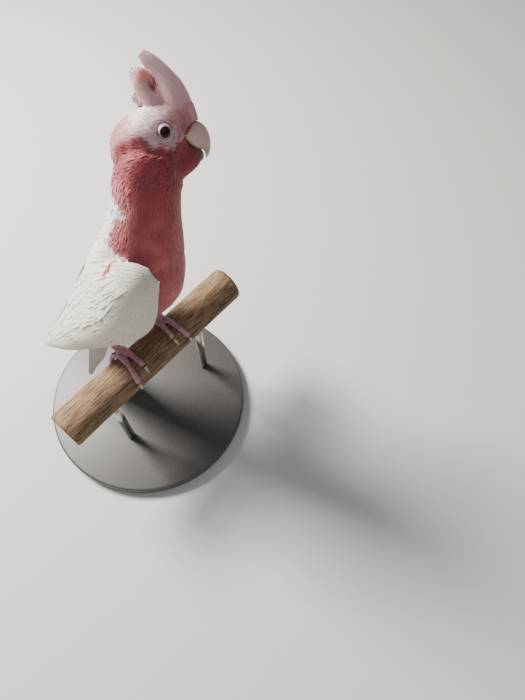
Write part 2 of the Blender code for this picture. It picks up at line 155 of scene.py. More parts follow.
def cloudMaterial(name, scale, detail, stops, relief=None, feathered=False, **settings):
    # soft cloudy noise in colours of its own, or as a shade over the plumage's colours
    made, tree = newMaterial(name, **settings)
    where = addNode(tree, "ShaderNodeTexCoord").outputs["Object"]
    grain = addNode(tree, "ShaderNodeTexNoise", Vector=where, Scale=scale, Detail=detail)
    tone = addNode(tree, "ShaderNodeValToRGB", None, stops, Fac=grain).outputs["Color"]
    if feathered:
        colour = addNode(tree, "ShaderNodeAttribute", plumage)
        tone = addNode(tree, "ShaderNodeMix", multiply, i0=1.0, i6=colour, i7=tone).outputs[2]
    addNode(tree, "Principled BSDF", Base_Color=tone)
    if relief:
        bump = addNode(tree, "ShaderNodeBump", Height=grain, Strength=relief[0], Distance=relief[1])
        addNode(tree, "Principled BSDF", Normal=bump)
    return made


def featherMaterial(name, barbs, relief, sheen):
    # keratin vanes: matt, a soft sheen from the barbs, fine ribs at a slant to the shaft; real
    # barbs are too fine to show, so the ribs are drawn several times as coarse
    made, tree = newMaterial(name, Roughness=0.62, IOR=1.54, Specular_IOR_Level=0.28,
                             Sheen_Weight=sheen, Sheen_Roughness=0.45)
    vane = addNode(tree, "ShaderNodeUVMap", {"uv_map": "vane"})
    drawn = addNode(tree, "ShaderNodeMapping", Vector=vane, Scale=(9.0, 1.6, 1))
    grain = addNode(tree, "ShaderNodeTexNoise", Vector=drawn, Scale=1.0, Detail=3.0, Roughness=0.6)
    tone = addNode(tree, "ShaderNodeValToRGB", None, [(0.25, 0.80), (0.75, 1.0)], Fac=grain)
    colour = addNode(tree, "ShaderNodeAttribute", plumage)
    mixed = addNode(tree, "ShaderNodeMix", multiply, i0=1.0, i6=colour, i7=tone)
    ribs = addNode(tree, "ShaderNodeTexWave", {"wave_type": "BANDS", "bands_direction": "DIAGONAL"},
                   Vector=vane, Scale=barbs, Distortion=0.6, Detail=1.0)
    both = addNode(tree, "ShaderNodeMath", {"operation": "ADD"}, i0=ribs.outputs["Fac"], i1=grain)
    bump = addNode(tree, "ShaderNodeBump", Height=both, Strength=relief, Distance=0.0002)
    addNode(tree, "Principled BSDF", Base_Color=mixed.outputs[2], Normal=bump)
    return made


plumes = {
    "contour": featherMaterial("contourFeatherKeratin", 5.0, 0.10, 0.30),
    "flight": featherMaterial("flightFeatherKeratin", 14.0, 0.06, 0.12),
}

# Markings: one rule for skin and coat.
tones = {
    "cream": "#F1EDE4", "warmCream": "#E6DECB", "lilac": "#DBACB1", "palePink": "#E8CFD0",
    "dustyPink": "#B98289", "salmon": "#E58F84", "coral": "#DC6660", "rose": "#AC4A50",
    "deepRose": "#7E2832", "softRose": "#D0797D", "lore": "#7E4150", "nape": "#B9747D",
    "loreRose": "#B0717C", "greyLilac": "#A58B97", "darkCrest": "#93303C", "crestPink": "#E19CA0",
    # wing and wingShade are a greyer cream than the body's cream: the wing's own cream with painted shade
    "wing": "#DBD5C7", "wingShade": "#CFC8B8",
}
tones = {name: linear(text) for name, text in tones.items()}

# Centimetres from the feet point: the spine from the vent up to the head, and the height of the
# rose breast's edge with its turn in degrees from the middle of the back.
spine = [(1.30, 5.45, 0.9), (1.40, 3.10, 4.1), (1.60, 0.80, 8.4), (2.10, -1.00, 12.6),
         (2.85, -1.90, 15.9), (4.00, -2.30, 18.3)]
roseEdge = [(2.0, 175), (3.6, 120), (5.0, 96), (12.5, 98), (13.4, 92), (13.75, 82), (13.95, 62),
            (14.4, 55), (14.9, 54), (15.5, 59), (16.0, 65), (16.3, 71), (16.5, 60), (16.65, 36),
            (16.9, 20), (17.3, 0)]
# Centimetres forward and up from the eye: the rose cheek's upper edge, and the crease behind the jaw.
cheekEdge = [(-3.4, -1.15), (-2.8, -0.95), (-1.9, -0.60), (-1.0, -0.22), (-0.7, -0.50),
             (-0.2, -0.90), (0.7, -0.80), (1.0, -0.30), (1.25, 0.05), (2.2, 0.40)]
crease = [(-0.20, -0.75), (-0.87, -1.18), (-1.44, -1.62), (-1.70, -2.33), (-1.74, -3.20), (-1.66, -4.80)]
armpit = [Vector((-0.80, -0.50, 13.25)), Vector((-1.50, 0.45, 12.15))]


def creaseSide(forward, up):
    # how far a place on the side of the head lies behind the crease, in centimetres
    line = sorted((y, x) for x, y in crease)
    return np.interp(up, [y for y, x in line], [x for y, x in line]) - forward


def noiseAt(points, scale):
    return np.array([noise.noise(Vector(point) * scale) for point in points])


def oval(a, b, middle, size):
    # 1 in the middle of an oval patch, fading to 0 outside it
    return np.exp(-((a - middle[0]) / size[0]) ** 2 - ((b - middle[1]) / size[1]) ** 2)


def layered(ground, *washes):
    # a ground with washes over it: each a tone's name or colours, and its share at every point
    def coloursOf(tint):
        return tones[tint] if isinstance(tint, str) else tint

    made = coloursOf(ground)
    for tint, share in washes:
        share = np.clip(share, 0, 1)[:, None]
        made = made * (1 - share) + coloursOf(tint) * share
    return made


def markings(points, winged=0.0):
    f, u, r = inHeadAll(points)
    p = (points - np.array(pose["feet"])) / cm
    x, y, z = p.T
    cx, cy = (np.interp(z, [row[2] for row in spine], [row[k] for row in spine]) for k in (0, 1))
    turn = np.degrees(np.arctan2(np.abs(x - cx), y - cy))
    edge = turn - np.interp(z, *zip(*roseEdge))
    cheek = u - np.interp(f, *zip(*cheekEdge))
    back = creaseSide(f, u)
    wave, fine, cloudy = (noiseAt(points, scale) for scale in (260, 900, 95))
    streak = noiseAt(np.stack((f * 1.2, u * 7, r * 7), axis=1), 1)

    # behind: the side past the crease behind the jaw; the paler rose there and the deeper rose in front of
    # the crease are painted shade of that crease
    behind = smooth(-0.15, 0.45, back + wave * 0.2)
    breast = layered(
        "rose",
        ("deepRose", 0.30 * smooth(12.0, 17.0, z)),
        ("softRose", 0.35 * behind * smooth(12.0, 14.0, z)),
        ("softRose", 0.25 * np.exp(-((edge - 8) / 14) ** 2)),
        ("softRose", np.minimum(0.55 * cloudy, 0.35)),
        ("deepRose", np.minimum(-0.75 * cloudy, 0.40)))
    rosy = smooth(-5, 5, edge + wave * 9 + fine * 6) * smooth(1.5, 3.5, z + wave)
    body = layered("cream", (breast, rosy))

    # ringShadow: a grey-lilac band round the eye ring, mostly behind it: painted shade
    ringShadow = np.exp(-((np.hypot(f - 0.08, u + 0.04) - 0.98) / 0.20) ** 2) * smooth(0.9, 0.1, f)
    front = smooth(0.75, 1.25, f) * smooth(-0.75, -0.35, u) * smooth(0.55, 0.15, u)
    # shade: grey-lilac streaks along the upper edge of the rose cheek: painted shade
    shade = np.exp(-((cheek - 0.20) / 0.17) ** 2) * smooth(-0.3, -0.9, f)
    crown = layered(
        "lilac",
        ("cream", 0.85 * oval(f, u, (-1.15, 0.75), (1.0, 0.55))),
        ("nape", smooth(-0.95, -2.1, f)),
        ("dustyPink", (0.62 + 0.5 * streak) * smooth(-0.1, 1.2, f) * smooth(2.2, 1.2, u)),
        ("salmon", (0.60 + 0.6 * streak) * oval(f, u, (1.20, 0.60), (0.60, 0.34))),
        ("lore", 0.9 * oval(f, u, (1.42, 0.10), (0.30, 0.45))),
        ("greyLilac", (0.60 + 0.6 * streak) * ringShadow),
        ("loreRose", (0.62 + 0.7 * streak) * front),
        ("greyLilac", (0.55 + 0.7 * streak) * shade))
    face = layered(
        "rose",
        # deeper rose in front of the crease behind the jaw, paler rose behind it: painted shade of that
        # crease
        ("deepRose", smooth(0.3, -0.1, back) * (0.55 + 0.3 * wave)),
        ("softRose", np.clip(0.42 + 0.9 * streak, 0, 1) * behind * smooth(-0.3, -0.6, cheek)),
        ("deepRose", 0.75 * oval(f, cheek, (-0.85, -0.22), (0.55, 0.30))),
        # a dark rose patch low on the rear of the neck: painted shadow of the fold between nape and ruff
        ("deepRose", np.clip(0.85 + 0.5 * wave, 0, 1) * oval(f, u, (-2.30, -1.75), (0.42, 0.55))))
    head = layered(crown, (face, smooth(0.16, -0.16, cheek + wave * 0.22 + fine * 0.1)))

    pit = np.array(armpit[1] - armpit[0])
    away = p - np.array(armpit[0])
    along = np.clip((away @ pit) / (pit @ pit), 0, 1)
    off = np.linalg.norm(away - along[:, None] * pit, axis=1)
    colour = layered(
        body,
        (head, smooth(-3.6, -2.4, u) * smooth(16.4, 17.4, z)),
        ("cream", np.broadcast_to(np.array(winged, float), len(points))),
        ("coral", smooth(0.34, 0.16, off + fine * 0.1 + 0.16 * along)))
    return np.clip(colour * (1 + 0.10 * fine[:, None]), 0, 1)


# The view.
camera = {
    "position": Vector((-0.19717, -0.15530, 0.54850)),
    "right": Vector((0.19035, -0.98149, 0.0177)),
    "forward": Vector((0.45805, 0.07282, -0.88600)),
    "lens": 27.05,
}


def addCamera():
    data = bpy.data.cameras.new("camera")
    data.lens = camera["lens"]
    data.clip_start = 0.01
    item = bpy.data.objects.new("camera", data)
    bpy.context.scene.collection.objects.link(item)
    ahead = camera["forward"].normalized()
    right = (camera["right"] - ahead * camera["right"].dot(ahead)).normalized()
    turned = Matrix((right, right.cross(ahead), -ahead)).transposed()
    item.matrix_world = Matrix.Translation(camera["position"]) @ turned.to_4x4()
    bpy.context.scene.camera = item


addCamera()
print("camera placed")


# Pieces.
def meshFrom(name, work):
    for face in work.faces:
        face.smooth = True
    mesh = bpy.data.meshes.new(name)
    work.to_mesh(mesh)
    work.free()
    return mesh


def addPiece(name, made, material, slot, *nodes):
    mesh = meshFrom(name, made) if isinstance(made, bmesh.types.BMesh) else made
    piece = bpy.data.objects.new(name, mesh)
    bpy.context.scene.collection.objects.link(piece)
    mesh.materials.append(material)
    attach(piece, "root")
    if nodes:
        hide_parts(*nodes)
    return piece


def setColours(mesh, colours):
    layer = mesh.color_attributes.new("plumage", "FLOAT_COLOR", "POINT")
    rgba = np.ones((len(colours), 4), np.float32)
    rgba[:, :3] = colours
    layer.data.foreach_set("color", rgba.ravel())


def pointsOf(mesh):
    points = np.empty(len(mesh.vertices) * 3)
    mesh.vertices.foreach_get("co", points)
    return points.reshape(-1, 3)


def mergedNodes(names, grow=0.0):
    work = bmesh.new()
    for name in names:
        work.from_mesh(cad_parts[name].data)
    bmesh.ops.remove_doubles(work, verts=work.verts, dist=0.00001)
    work.normal_update()
    for vert in work.verts:
        vert.co += vert.normal * grow
    return work


def treeOf(names):
    work = mergedNodes(names)
    tree = BVHTree.FromBMesh(work)
    work.free()
    return tree


def relax(work, rounds, factor=0.5):
    for _ in range(rounds):
        bmesh.ops.smooth_vert(work, verts=work.verts, factor=factor,
                              use_axis_x=True, use_axis_y=True, use_axis_z=True)


def remeshed(work, voxel, rounds):
    # one closed surface round everything in the bmesh, then smoothed
    mesh = bpy.data.meshes.new("rough")
    work.to_mesh(mesh)
    work.free()
    item = bpy.data.objects.new("rough", mesh)
    bpy.context.scene.collection.objects.link(item)
    modifier = item.modifiers.new("remesh", "REMESH")
    modifier.mode = "VOXEL"
    modifier.voxel_size = voxel
    bpy.context.view_layer.update()
    whole = bpy.data.meshes.new_from_object(item.evaluated_get(bpy.context.evaluated_depsgraph_get()))
    bpy.data.objects.remove(item)
    work = bmesh.new()
    work.from_mesh(whole)
    bpy.data.meshes.remove(whole)
    relax(work, rounds)
    work.normal_update()
    return work


def sweptRings(work, around, count):
    # a small circle grown into a tube: the vertices of each ring in turn
    rings = [list(bmesh.ops.create_circle(work, segments=around, radius=1 * mm)["verts"])]
    edges = work.edges[:]
    for _ in range(count - 1):
        grown = bmesh.ops.extrude_edge_only(work, edges=edges)["geom"]
        edges = [item for item in grown if isinstance(item, bmesh.types.BMEdge)]
        rings.append([item for item in grown if isinstance(item, bmesh.types.BMVert)])
    return rings


# The skin.
skinRules = {
    "voxel": 1.3 * mm,
    "puff": 0.45 * mm,      # closes the thin cuts between the parts
    # how deep the coat lies over the skin, millimetres
    "coat": {"head": 1.0, "neck": 1.7, "trunk": 2.2, "thigh": 1.6, "wing": 1.2, "crest": 2.0},
}
fleshNodes = ["head", "neck", "trunk", "thigh_left", "thigh_right", "wing_left", "wing_right",
              "crest_front", "crest_rear", "crest_finger"]
regionTrees = {name: treeOf([name]) for name in fleshNodes}


def regionOf(point):
    return min(regionTrees, key=lambda name: regionTrees[name].find_nearest(point)[3]).split("_")[0]


def faceThin(f, u, r, low):
    # the coat gets thinner towards the bill
    return 1.0 - 0.6 * smooth(0.4, 1.6, f) if f > 0.4 and low < u < 1.6 and abs(r) < 2.2 else 1.0


def makeSkin():
    work = remeshed(mergedNodes(fleshNodes, skinRules["puff"]), skinRules["voxel"], 4)
    tree = BVHTree.FromBMesh(work)
    moves = []
    for vert in work.verts:
        f, u, r = inHead(vert.co)
        depth = skinRules["coat"][regionOf(vert.co)] * mm * faceThin(f, u, r, -3.4)
        if f > 0.9 and u < -0.7:                # the bib closes up to the bill's cutting edge
            depth -= 0.5 * mm * smooth(0.9, 1.5, f) * smooth(-0.7, -1.1, u)
        hit = tree.ray_cast(vert.co - vert.normal * 0.0001, -vert.normal)
        if hit[3]:
            depth = min(depth, hit[3] * 0.3)
        moves.append(vert.normal * (depth + skinRules["puff"]))
    for vert, move in zip(work.verts, moves):
        vert.co -= move
    relax(work, 3)
    bmesh.ops.recalc_face_normals(work, faces=work.faces)
    mesh = meshFrom("skin", work)
    points = pointsOf(mesh)
    setColours(mesh, markings(points, [regionOf(Vector(point)) == "wing" for point in points]))
    # thin feathered skin under the coat, in the same markings
    material = cloudMaterial("featheredSkin", 900.0, 4.0, ((0.3, 0.80), (0.7, 0.98)), (0.4, 0.0003), True,
                             Roughness=0.7, Specular_IOR_Level=0.2)
    piece = addPiece("skin", mesh, material, "white_feather", *fleshNodes)
    mesh.uv_layers.new(name="OFBake")
    bpy.context.view_layer.objects.active = piece
    piece.select_set(True)
    bpy.ops.object.mode_set(mode="EDIT")
    bpy.ops.mesh.select_all(action="SELECT")
    bpy.ops.uv.smart_project(angle_limit=radians(66), island_margin=0.001)
    bpy.ops.object.mode_set(mode="OBJECT")
    piece.select_set(False)
    return piece


skin = makeSkin()
print("skin made:", len(skin.data.vertices), "vertices")


def skinFacts():
    work = bmesh.new()
    work.from_mesh(skin.data)
    work.normal_update()
    layer = work.loops.layers.uv["OFBake"]
    centres = np.array([np.mean([loop[layer].uv for loop in face.loops], axis=0) for face in work.faces])
    corners = [[vert.co.copy() for vert in face.verts] for face in work.faces]
    areas = np.array([face.calc_area() for face in work.faces])
    normals = [face.normal.copy() for face in work.faces]
    tree = BVHTree.FromBMesh(work)
    work.free()
    return tree, centres, corners, areas, normals


skinTree, skinUv, skinCorners, skinAreas, skinNormals = skinFacts()


def skinUvAt(points):
    return np.array([skinUv[skinTree.find_nearest(Vector(point))[2]] for point in points])


# Feathers.
def featherShape(columns, rows, outline, tip, notch, thick, shaft=0.0):
    # one flat feather: x across (-1 to 1), y along (0 to 1), z its thickness, with a notched tip
    work = bmesh.new()
    bmesh.ops.create_grid(work, x_segments=columns, y_segments=rows, size=1)
    for vert in work.verts:
        column = round((vert.co.x + 1) / 2 * columns)
        u, t = vert.co.x, (vert.co.y + 1) / 2
        end = 1 - tip * abs(u) ** 2.4 - notch * (column % 2)
        across = u * outline(t)
        vert.co = Vector((across, t * end, 0))
    bmesh.ops.solidify(work, geom=work.faces[:], thickness=thick)
    bmesh.ops.recalc_face_normals(work, faces=work.faces)
    work.verts.ensure_lookup_table()
    points = np.array([vert.co for vert in work.verts])
    points[:, 2] = (points[:, 2] - points[:, 2].max()) * (1 - 0.7 * np.clip(points[:, 1], 0, 1) ** 2)
    if shaft:
        ridge = np.exp(-(points[:, 0] / 0.10) ** 2) * (points[:, 2] > -thick / 2)
        points[:, 2] += ridge * shaft * (1.1 - points[:, 1])
    faces = np.array([[vert.index for vert in face.verts] for face in work.faces])
    work.free()
    return points, faces


def leafOutline(foot, fullAt, cut, narrowAt):
    # narrow at the foot, full from fullAt on, and narrower again towards the tip
    return lambda t: (foot + (1 - foot) * smooth(0.0, fullAt, t)) * (1 - cut * smooth(narrowAt, 1.0, t))


def bladeOutline(t):
    return (0.30 + 0.70 * smooth(0.0, 0.30, t)) * sqrt(max(0.0, 1 - smooth(0.80, 1.02, t) ** 2 * 0.97))


lance = leafOutline(0.45, 0.35, 0.60, 0.50)
leaf = leafOutline(0.40, 0.30, 0.55, 0.62)
shapes = {
    "small": featherShape(2, 4, lance, 0.34, 0.0, 0.12),
    "narrow": featherShape(2, 5, lance, 0.36, 0.0, 0.12),
    "covert": featherShape(6, 7, bladeOutline, 0.10, 0.012, 0.05, 0.03),
    "soft": featherShape(4, 8, leaf, 0.14, 0.03, 0.05, 0.02),
    "crest": featherShape(4, 13, leaf, 0.10, 0.0, 0.05, 0.03),
    "blade": featherShape(6, 16, bladeOutline, 0.03, 0.0, 0.05, 0.05),
}
# what 1 mm of thickness is in each shape's own measure
lanceThick = mm / 0.12
vaneThick = mm / 0.05


def plant(name, shape, feathers, material, slot, *nodes):
    # every feather is a dictionary: centre line, sides and normals at its steps, and its sizes
    points, faces = shapes[shape]
    steps = len(feathers[0]["line"])
    at = np.clip(points[:, 1], 0, 1) * (steps - 1)
    low = np.minimum(at.astype(int), steps - 2)
    share = (at - low)[None, :, None]

    def single(key):
        return np.array([feather[key] for feather in feathers], float)

    def along(key):
        values = single(key)
        return values[:, low] * (1 - share) + values[:, low + 1] * share

    across = points[None, :, 0]
    reach = across * single("width")[:, None]
    height = points[None, :, 2] * single("thick")[:, None]
    places = along("line") + along("side") * reach[:, :, None]
    places += along("bend") * (across ** 2)[:, :, None] + along("normal") * height[:, :, None]
    count, corners = len(feathers), len(points)
    allFaces = (faces[None] + (np.arange(count) * corners)[:, None, None]).reshape(-1, 4)
    mesh = bpy.data.meshes.new(name)
    mesh.vertices.add(count * corners)
    mesh.vertices.foreach_set("co", places.astype(np.float32).ravel())
    mesh.loops.add(allFaces.size)
    mesh.loops.foreach_set("vertex_index", allFaces.astype(np.int32).ravel())
    mesh.polygons.add(len(allFaces))
    mesh.polygons.foreach_set("loop_start", np.arange(0, allFaces.size, 4, dtype=np.int32))
    mesh.update(calc_edges=True)
    mesh.validate()
    mesh.polygons.foreach_set("use_smooth", np.ones(len(mesh.polygons), bool))
    mesh.set_sharp_from_angle(angle=radians(45))
    t = points[None, :, 1, None]
    colours = single("colour")[:, None, :] * (0.88 + 0.12 * t) * (1 - t ** 2)
    colours = colours + single("tip")[:, None, :] * t ** 2
    setColours(mesh, np.clip(colours, 0, 1).reshape(-1, 3))
    roots = [feather["line"][0] for feather in feathers]
    patch = np.stack([points[:, 0], points[:, 1] - 0.5], axis=1) * 0.0015
    baked = (skinUvAt(roots)[:, None, :] + patch[None]).reshape(-1, 2)
    shifts = np.random.RandomState(3).rand(count, 1) * 9
    vane = np.tile(points[:, :2], (count, 1)) + np.repeat(shifts, corners, axis=0)
    for key, values in (("OFBake", baked), ("vane", vane)):
        layer = mesh.uv_layers.new(name=key)
        layer.data.foreach_set("uv", values[allFaces.ravel()].astype(np.float32).ravel())
    mesh.uv_layers.active = mesh.uv_layers["OFBake"]
    piece = addPiece(name, mesh, plumes[material], slot, *nodes)
    print(name, "has", count, "feathers and", 2 * len(allFaces), "triangles")
    return piece


def feather(line, normals, width, thick, camber, colour, tip):
    line = [Vector(point) for point in line]
    ahead = [line[min(i + 1, len(line) - 1)] - line[max(i - 1, 0)] for i in range(len(line))]
    return {"line": line, "normal": normals, "width": width, "thick": thick, "colour": colour, "tip": tip,
            "side": [way.cross(normal).normalized() for way, normal in zip(ahead, normals)],
            "bend": [normal * -camber * width for normal in normals]}


def traced(placeAt, steps):
    # places with the way out at each, from the root (0) to the tip (1)
    return zip(*(placeAt(k / (steps - 1)) for k in range(steps)))


# The coat that grows from the skin.
billBase = headPoint(2.0, -0.5)
coatRules = {
    # distance from the bill in centimetres, then each feather's length in millimetres
    "length": [(0.0, 2.0), (1.0, 3.0), (2.4, 4.4), (4.0, 6.5), (6.5, 9.5), (10.0, 13.0), (16.0, 15.0)],
    "crest": 10.0, "thigh": 9.0,
    "slimness": 0.20,       # half width over length
    "spacing": 0.118,       # gap between roots over length
    "shortest": 0.72 * mm,  # and the least gap
    "tries": 420000,
    "cell": 3.0 * mm,       # side of the boxes the roots are sorted into
    "mostTriangles": 195000,
}
lobeLie = headForward * -0.53 + headUp * 0.85


def bodyLie(point):
    z = (point.z - pose["feet"].z) / cm
    i = 0
    while i < len(spine) - 2 and spine[i + 1][2] < z:
        i += 1
    return (Vector(spine[i]) - Vector(spine[i + 1])).normalized()


def lieAt(point, region):
    # the way a feather points at a place
    if region == "crest":
        return lobeLie
    if region == "thigh":
        return Vector((0, -0.25, -1))
    f, u, r = inHead(point)
    low = max(smooth(-1.9, -3.6, u), smooth(-2.2, -3.2, f) * smooth(0.2, -1.4, u))
    lie = (point - billBase).normalized() * (1 - low) + bodyLie(point) * low
    if u > 0.4 and f > -0.9:
        rise = smooth(0.4, 1.1, u) * smooth(-1.0, -0.2, f)
        lie = lie * (1 - rise) + lobeLie * rise
    return lie


def lengthAt(point, region):
    if region in coatRules:
        return coatRules[region]
    return float(np.interp((point - billBase).length / cm, *zip(*coatRules["length"])))


def isBare(point):
    # inside the bare ring round the eye
    f, u, r = inHead(point)
    reach = 0.66 + 0.15 * cos(atan2(u + 0.04, f - 0.08) + radians(40))
    return abs(r) > 0.9 and reach - hypot(f - 0.08, u + 0.04) > 0.04


def scatterRoots():
    # roots at an even spacing that grows with the feathers
    picker = np.random.RandomState(11)
    faces = picker.choice(len(skinAreas), coatRules["tries"], p=skinAreas / skinAreas.sum())
    spots = picker.rand(coatRules["tries"], 2)
    taken, roots = {}, []
    for face, (a, b) in zip(faces, spots):
        ring = skinCorners[face]
        p = ring[0].lerp(ring[1], a).lerp(ring[3 if len(ring) > 3 else 2].lerp(ring[2], a), b)
        i, j, k = (int(c // coatRules["cell"]) for c in p)
        near = [item for dx in (-1, 0, 1) for dy in (-1, 0, 1) for dz in (-1, 0, 1)
                for item in taken.get((i + dx, j + dy, k + dz), ())]
        if any((p - other).length < gap * 0.4 for other, gap in near):
            continue
        region = regionOf(p)
        # the wings and the upper crest have feathers of their own
        if region == "wing" or region == "crest" and inHead(p)[1] > 2.3:
            continue
        length = lengthAt(p, region) * mm
        gap = max(length * coatRules["spacing"], coatRules["shortest"])
        if any((p - other).length < gap for other, _ in near) or isBare(p):
            continue
        taken.setdefault((i, j, k), []).append((p, gap))
        roots.append((p, skinNormals[face], region, length))
    return roots


def alongSkin(root, normal, lie, length, lift, steps=5):
    # a feather's centre line: it leaves the skin at its root and follows it to the tip
    line, normals = [], []
    at, up = root - normal * 0.3 * mm, normal
    for k in range(steps):
        t = k / (steps - 1)
        line.append(at + up * lift * (0.08 + 0.92 * (1 - (1 - t) ** 2.4)))
        normals.append(up)
        flat = lie - up * lie.dot(up)
        if flat.length < 0.05:
            flat = normal.orthogonal()
        at, _, face, _ = skinTree.find_nearest(at + flat.normalized() * length / (steps - 1))
        up = (up * 0.5 + skinNormals[face] * 0.5).normalized()
    return line, normals


def growCoat():
    roots = scatterRoots()
    colours = markings(np.array([root[0] for root in roots]))
    groups = {}
    for (root, normal, region, length), colour in zip(roots, colours):
        lie = lieAt(root, region)
        f, u, r = inHead(root)
        ruff = 0.0                  # the loose feathers behind the crease of the neck
        if region in ("head", "neck") and -6.0 < u < -0.5:
            ruff = smooth(-0.1, 0.5, creaseSide(f, u)) * smooth(-6.0, -4.5, u)
        lie = lie + noise.noise_vector(root * 130) * (0.15 + 0.50 * ruff) + scatter(0.07)
        lift = skinRules["coat"][region] * mm * faceThin(f, u, r, -3.0) * random.uniform(0.88, 1.0)
        lift *= 1 + 0.6 * ruff * max(0.0, noise.noise(root * 300))
        length *= random.uniform(0.85, 1.15)
        line, normals = alongSkin(root, normal, lie, length, lift)
        shade = random.uniform(0.96, 1.04) * (1 + 0.10 * ruff * noise.noise(root * 200))
        tip = np.clip(colour * 1.05 * shade + 0.01 + 0.03 * ruff, 0, 1)
        half = length * coatRules["slimness"] * random.uniform(0.85, 1.15)
        thick = max(0.10 * mm, length * 0.014) / 0.12
        made = feather(line, normals, half, thick, random.uniform(0.05, 0.14), colour * shade, tip)
        groups.setdefault("crown" if region == "head" and u >= 0.2 else region, []).append(made)
    for group, made in groups.items():
        shape = "small" if group in ("head", "crown") else "narrow"
        slot = "rose_feather" if group in ("head", "neck", "trunk") else "blush_feather"
        most = int(coatRules["mostTriangles"] / (2 * len(shapes[shape][1])))
        for part in range(ceil(len(made) / most)):
            plant("coat" + group.capitalize() + "ABCDEFG"[part], shape, made[part * most:(part + 1) * most],
                  "contour", slot)


growCoat()


# Wings, tail and crest.
wingLines = [   # lower edge, fullest line, upper edge and thickness from wrist to tip, centimetres
    ((-1.15, -3.25, 12.0), (-1.40, -3.10, 12.7), (-1.15, -2.70, 13.3), 0.45),
    ((-1.40, -3.00, 10.8), (-2.10, -2.20, 12.2), (-1.05, -1.50, 13.4), 0.85),
    ((-1.65, -2.65, 8.6), (-2.60, -1.10, 10.7), (-0.65, 0.60, 12.2), 0.90),
    ((-1.80, -1.95, 6.5), (-2.85, -0.10, 9.0), (0.00, 2.40, 10.4), 0.85),
    ((-1.95, -0.60, 4.7), (-2.75, 1.30, 7.0), (0.70, 4.00, 8.0), 0.75),
    ((-1.98, 1.40, 3.0), (-2.30, 3.00, 5.0), (1.05, 5.50, 5.5), 0.60),
    ((-1.57, 4.07, 0.5), (-1.42, 5.28, 2.1), (1.20, 7.10, 2.4), 0.45),
    ((-0.76, 7.59, -2.9), (-0.45, 8.30, -1.8), (1.20, 9.33, -1.4), 0.30),
    ((0.30, 10.72, -5.3), (0.45, 10.88, -4.8), (1.10, 11.24, -4.5), 0.22),
    ((0.90, 12.38, -6.5), (0.97, 12.42, -6.4), (1.06, 12.47, -6.25), 0.12),
]
wingRows = [(*low, *mid, *top, thick) for low, mid, top, thick in wingLines]
# Places on a wing are given along it (0 at the wrist, 9 at the tip) and up across it (0 to 1).
wing = {
    "setback": 0.9,         # the left wing's front edge lies this much farther back, centimetres
    "ends": (0.06, 8.93),   # first and last place along the wing that a feather reaches
    "tilt": 0.010,          # how much each upper edge is tucked in, centimetres
    # rows of flight feathers: how many, first and last root, first and last tip, half width, depth
    # of the roots in centimetres, and whether they lie on the inner face
    "quills": [(9, (3.0, 0.14), (4.6, 0.62), (8.93, 0.22), (7.57, 0.72), 0.16, 0.19, False),
               (13, (2.0, 0.05), (2.8, 0.95), (5.9, 0.05), (7.2, 0.95), 0.066, 0.17, False),
               (12, (2.2, 0.06), (3.0, 0.94), (8.9, 0.14), (6.9, 0.90), 0.075, 0.10, True)],
    # covert rows: root and tip along the wing, how many, half width
    "coverts": [(1.25, 4.45, 14, 0.060), (0.95, 3.35, 16, 0.053), (0.70, 2.60, 17, 0.050),
                (0.45, 2.05, 18, 0.047)],
    "innerRows": 4, "innerCount": 12,
    "smallRows": 6, "smallCount": 19,
}


def wingMiddle(s, w):
    row = between(wingRows, s)
    low, mid, top = row[0:3], row[3:6], row[6:9]
    return Vector(low * (1 - w) * (1 - 2 * w) + mid * 4 * w * (1 - w) + top * w * (2 * w - 1)), row[9]


def wingPoint(s, w, side, sink, inner=False):
    # place on the outer or inner face of a wing, sunk a little below it, with the way out from there
    middle, thick = wingMiddle(s, w)
    ds = wingMiddle(min(s + 0.1, 9), w)[0] - wingMiddle(max(s - 0.1, 0), w)[0]
    dw = wingMiddle(s, w + 0.03)[0] - wingMiddle(s, w - 0.03)[0]
    normal = ds.cross(dw).normalized()
    if (normal.dot(middle - Vector((1.6, middle.y, middle.z))) < 0) != inner:
        normal = -normal
    half = thick / 2 * (0.28 + 0.72 * sin(pi * (0.08 + 0.84 * min(max(w, 0), 1))))
    point = middle + normal * (half - sink)
    if side > 0:                # mirrored across the trunk, which leans a little
        point.y += wing["setback"] * max(0.0, 1 - s / 6) * (1 - w)
        point.x = 2 * (1.40 + 0.06 * max(0.0, point.z - 5.0)) - point.x
        normal.x = -normal.x
    return place(*point), normal


def wingFeather(side, root, tip, half, deep, steps=9, inner=False):
    # both edges of the feather follow the wing too, so rows lie like shingles: each root is
    # deep under the row in front and each tip lies on the row behind
    made = {"line": [], "side": [], "bend": [], "normal": [], "width": 1.0, "thick": 0.12 * vaneThick}
    for k in range(steps):
        t = k / (steps - 1)
        s, w = (a + (b - a) * t for a, b in zip(root, tip))
        s = min(max(s, wing["ends"][0]), wing["ends"][1])
        front = 0.24 * max(0.0, 1 - s / 0.8) ** 2       # the bend of the wing is round
        low, high = max(0.02 + front, w - half), min(0.985 - 0.3 * front, w + half)
        low, high = min(low, high - 0.01), max(high, low + 0.01)
        under = deep * (1 - t) * min(1.0, wingMiddle(s, 0.5)[1] / 0.6)
        point, normal = wingPoint(s, (low + high) / 2, side, under, inner)
        lower = wingPoint(s, low, side, under - wing["tilt"], inner)[0]
        upper = wingPoint(s, high, side, under + wing["tilt"], inner)[0]
        for key, value in (("line", point), ("side", (upper - lower) / 2),
                           ("bend", (upper + lower) / 2 - point), ("normal", normal)):
            made[key].append(value)
    shade = random.uniform(0.985, 1.01)
    # the wing feathers take the greyer wing tones: painted shade over the wing's cream
    made["colour"], made["tip"] = tones["wingShade"] * shade, tones["wing"] * shade
    return made


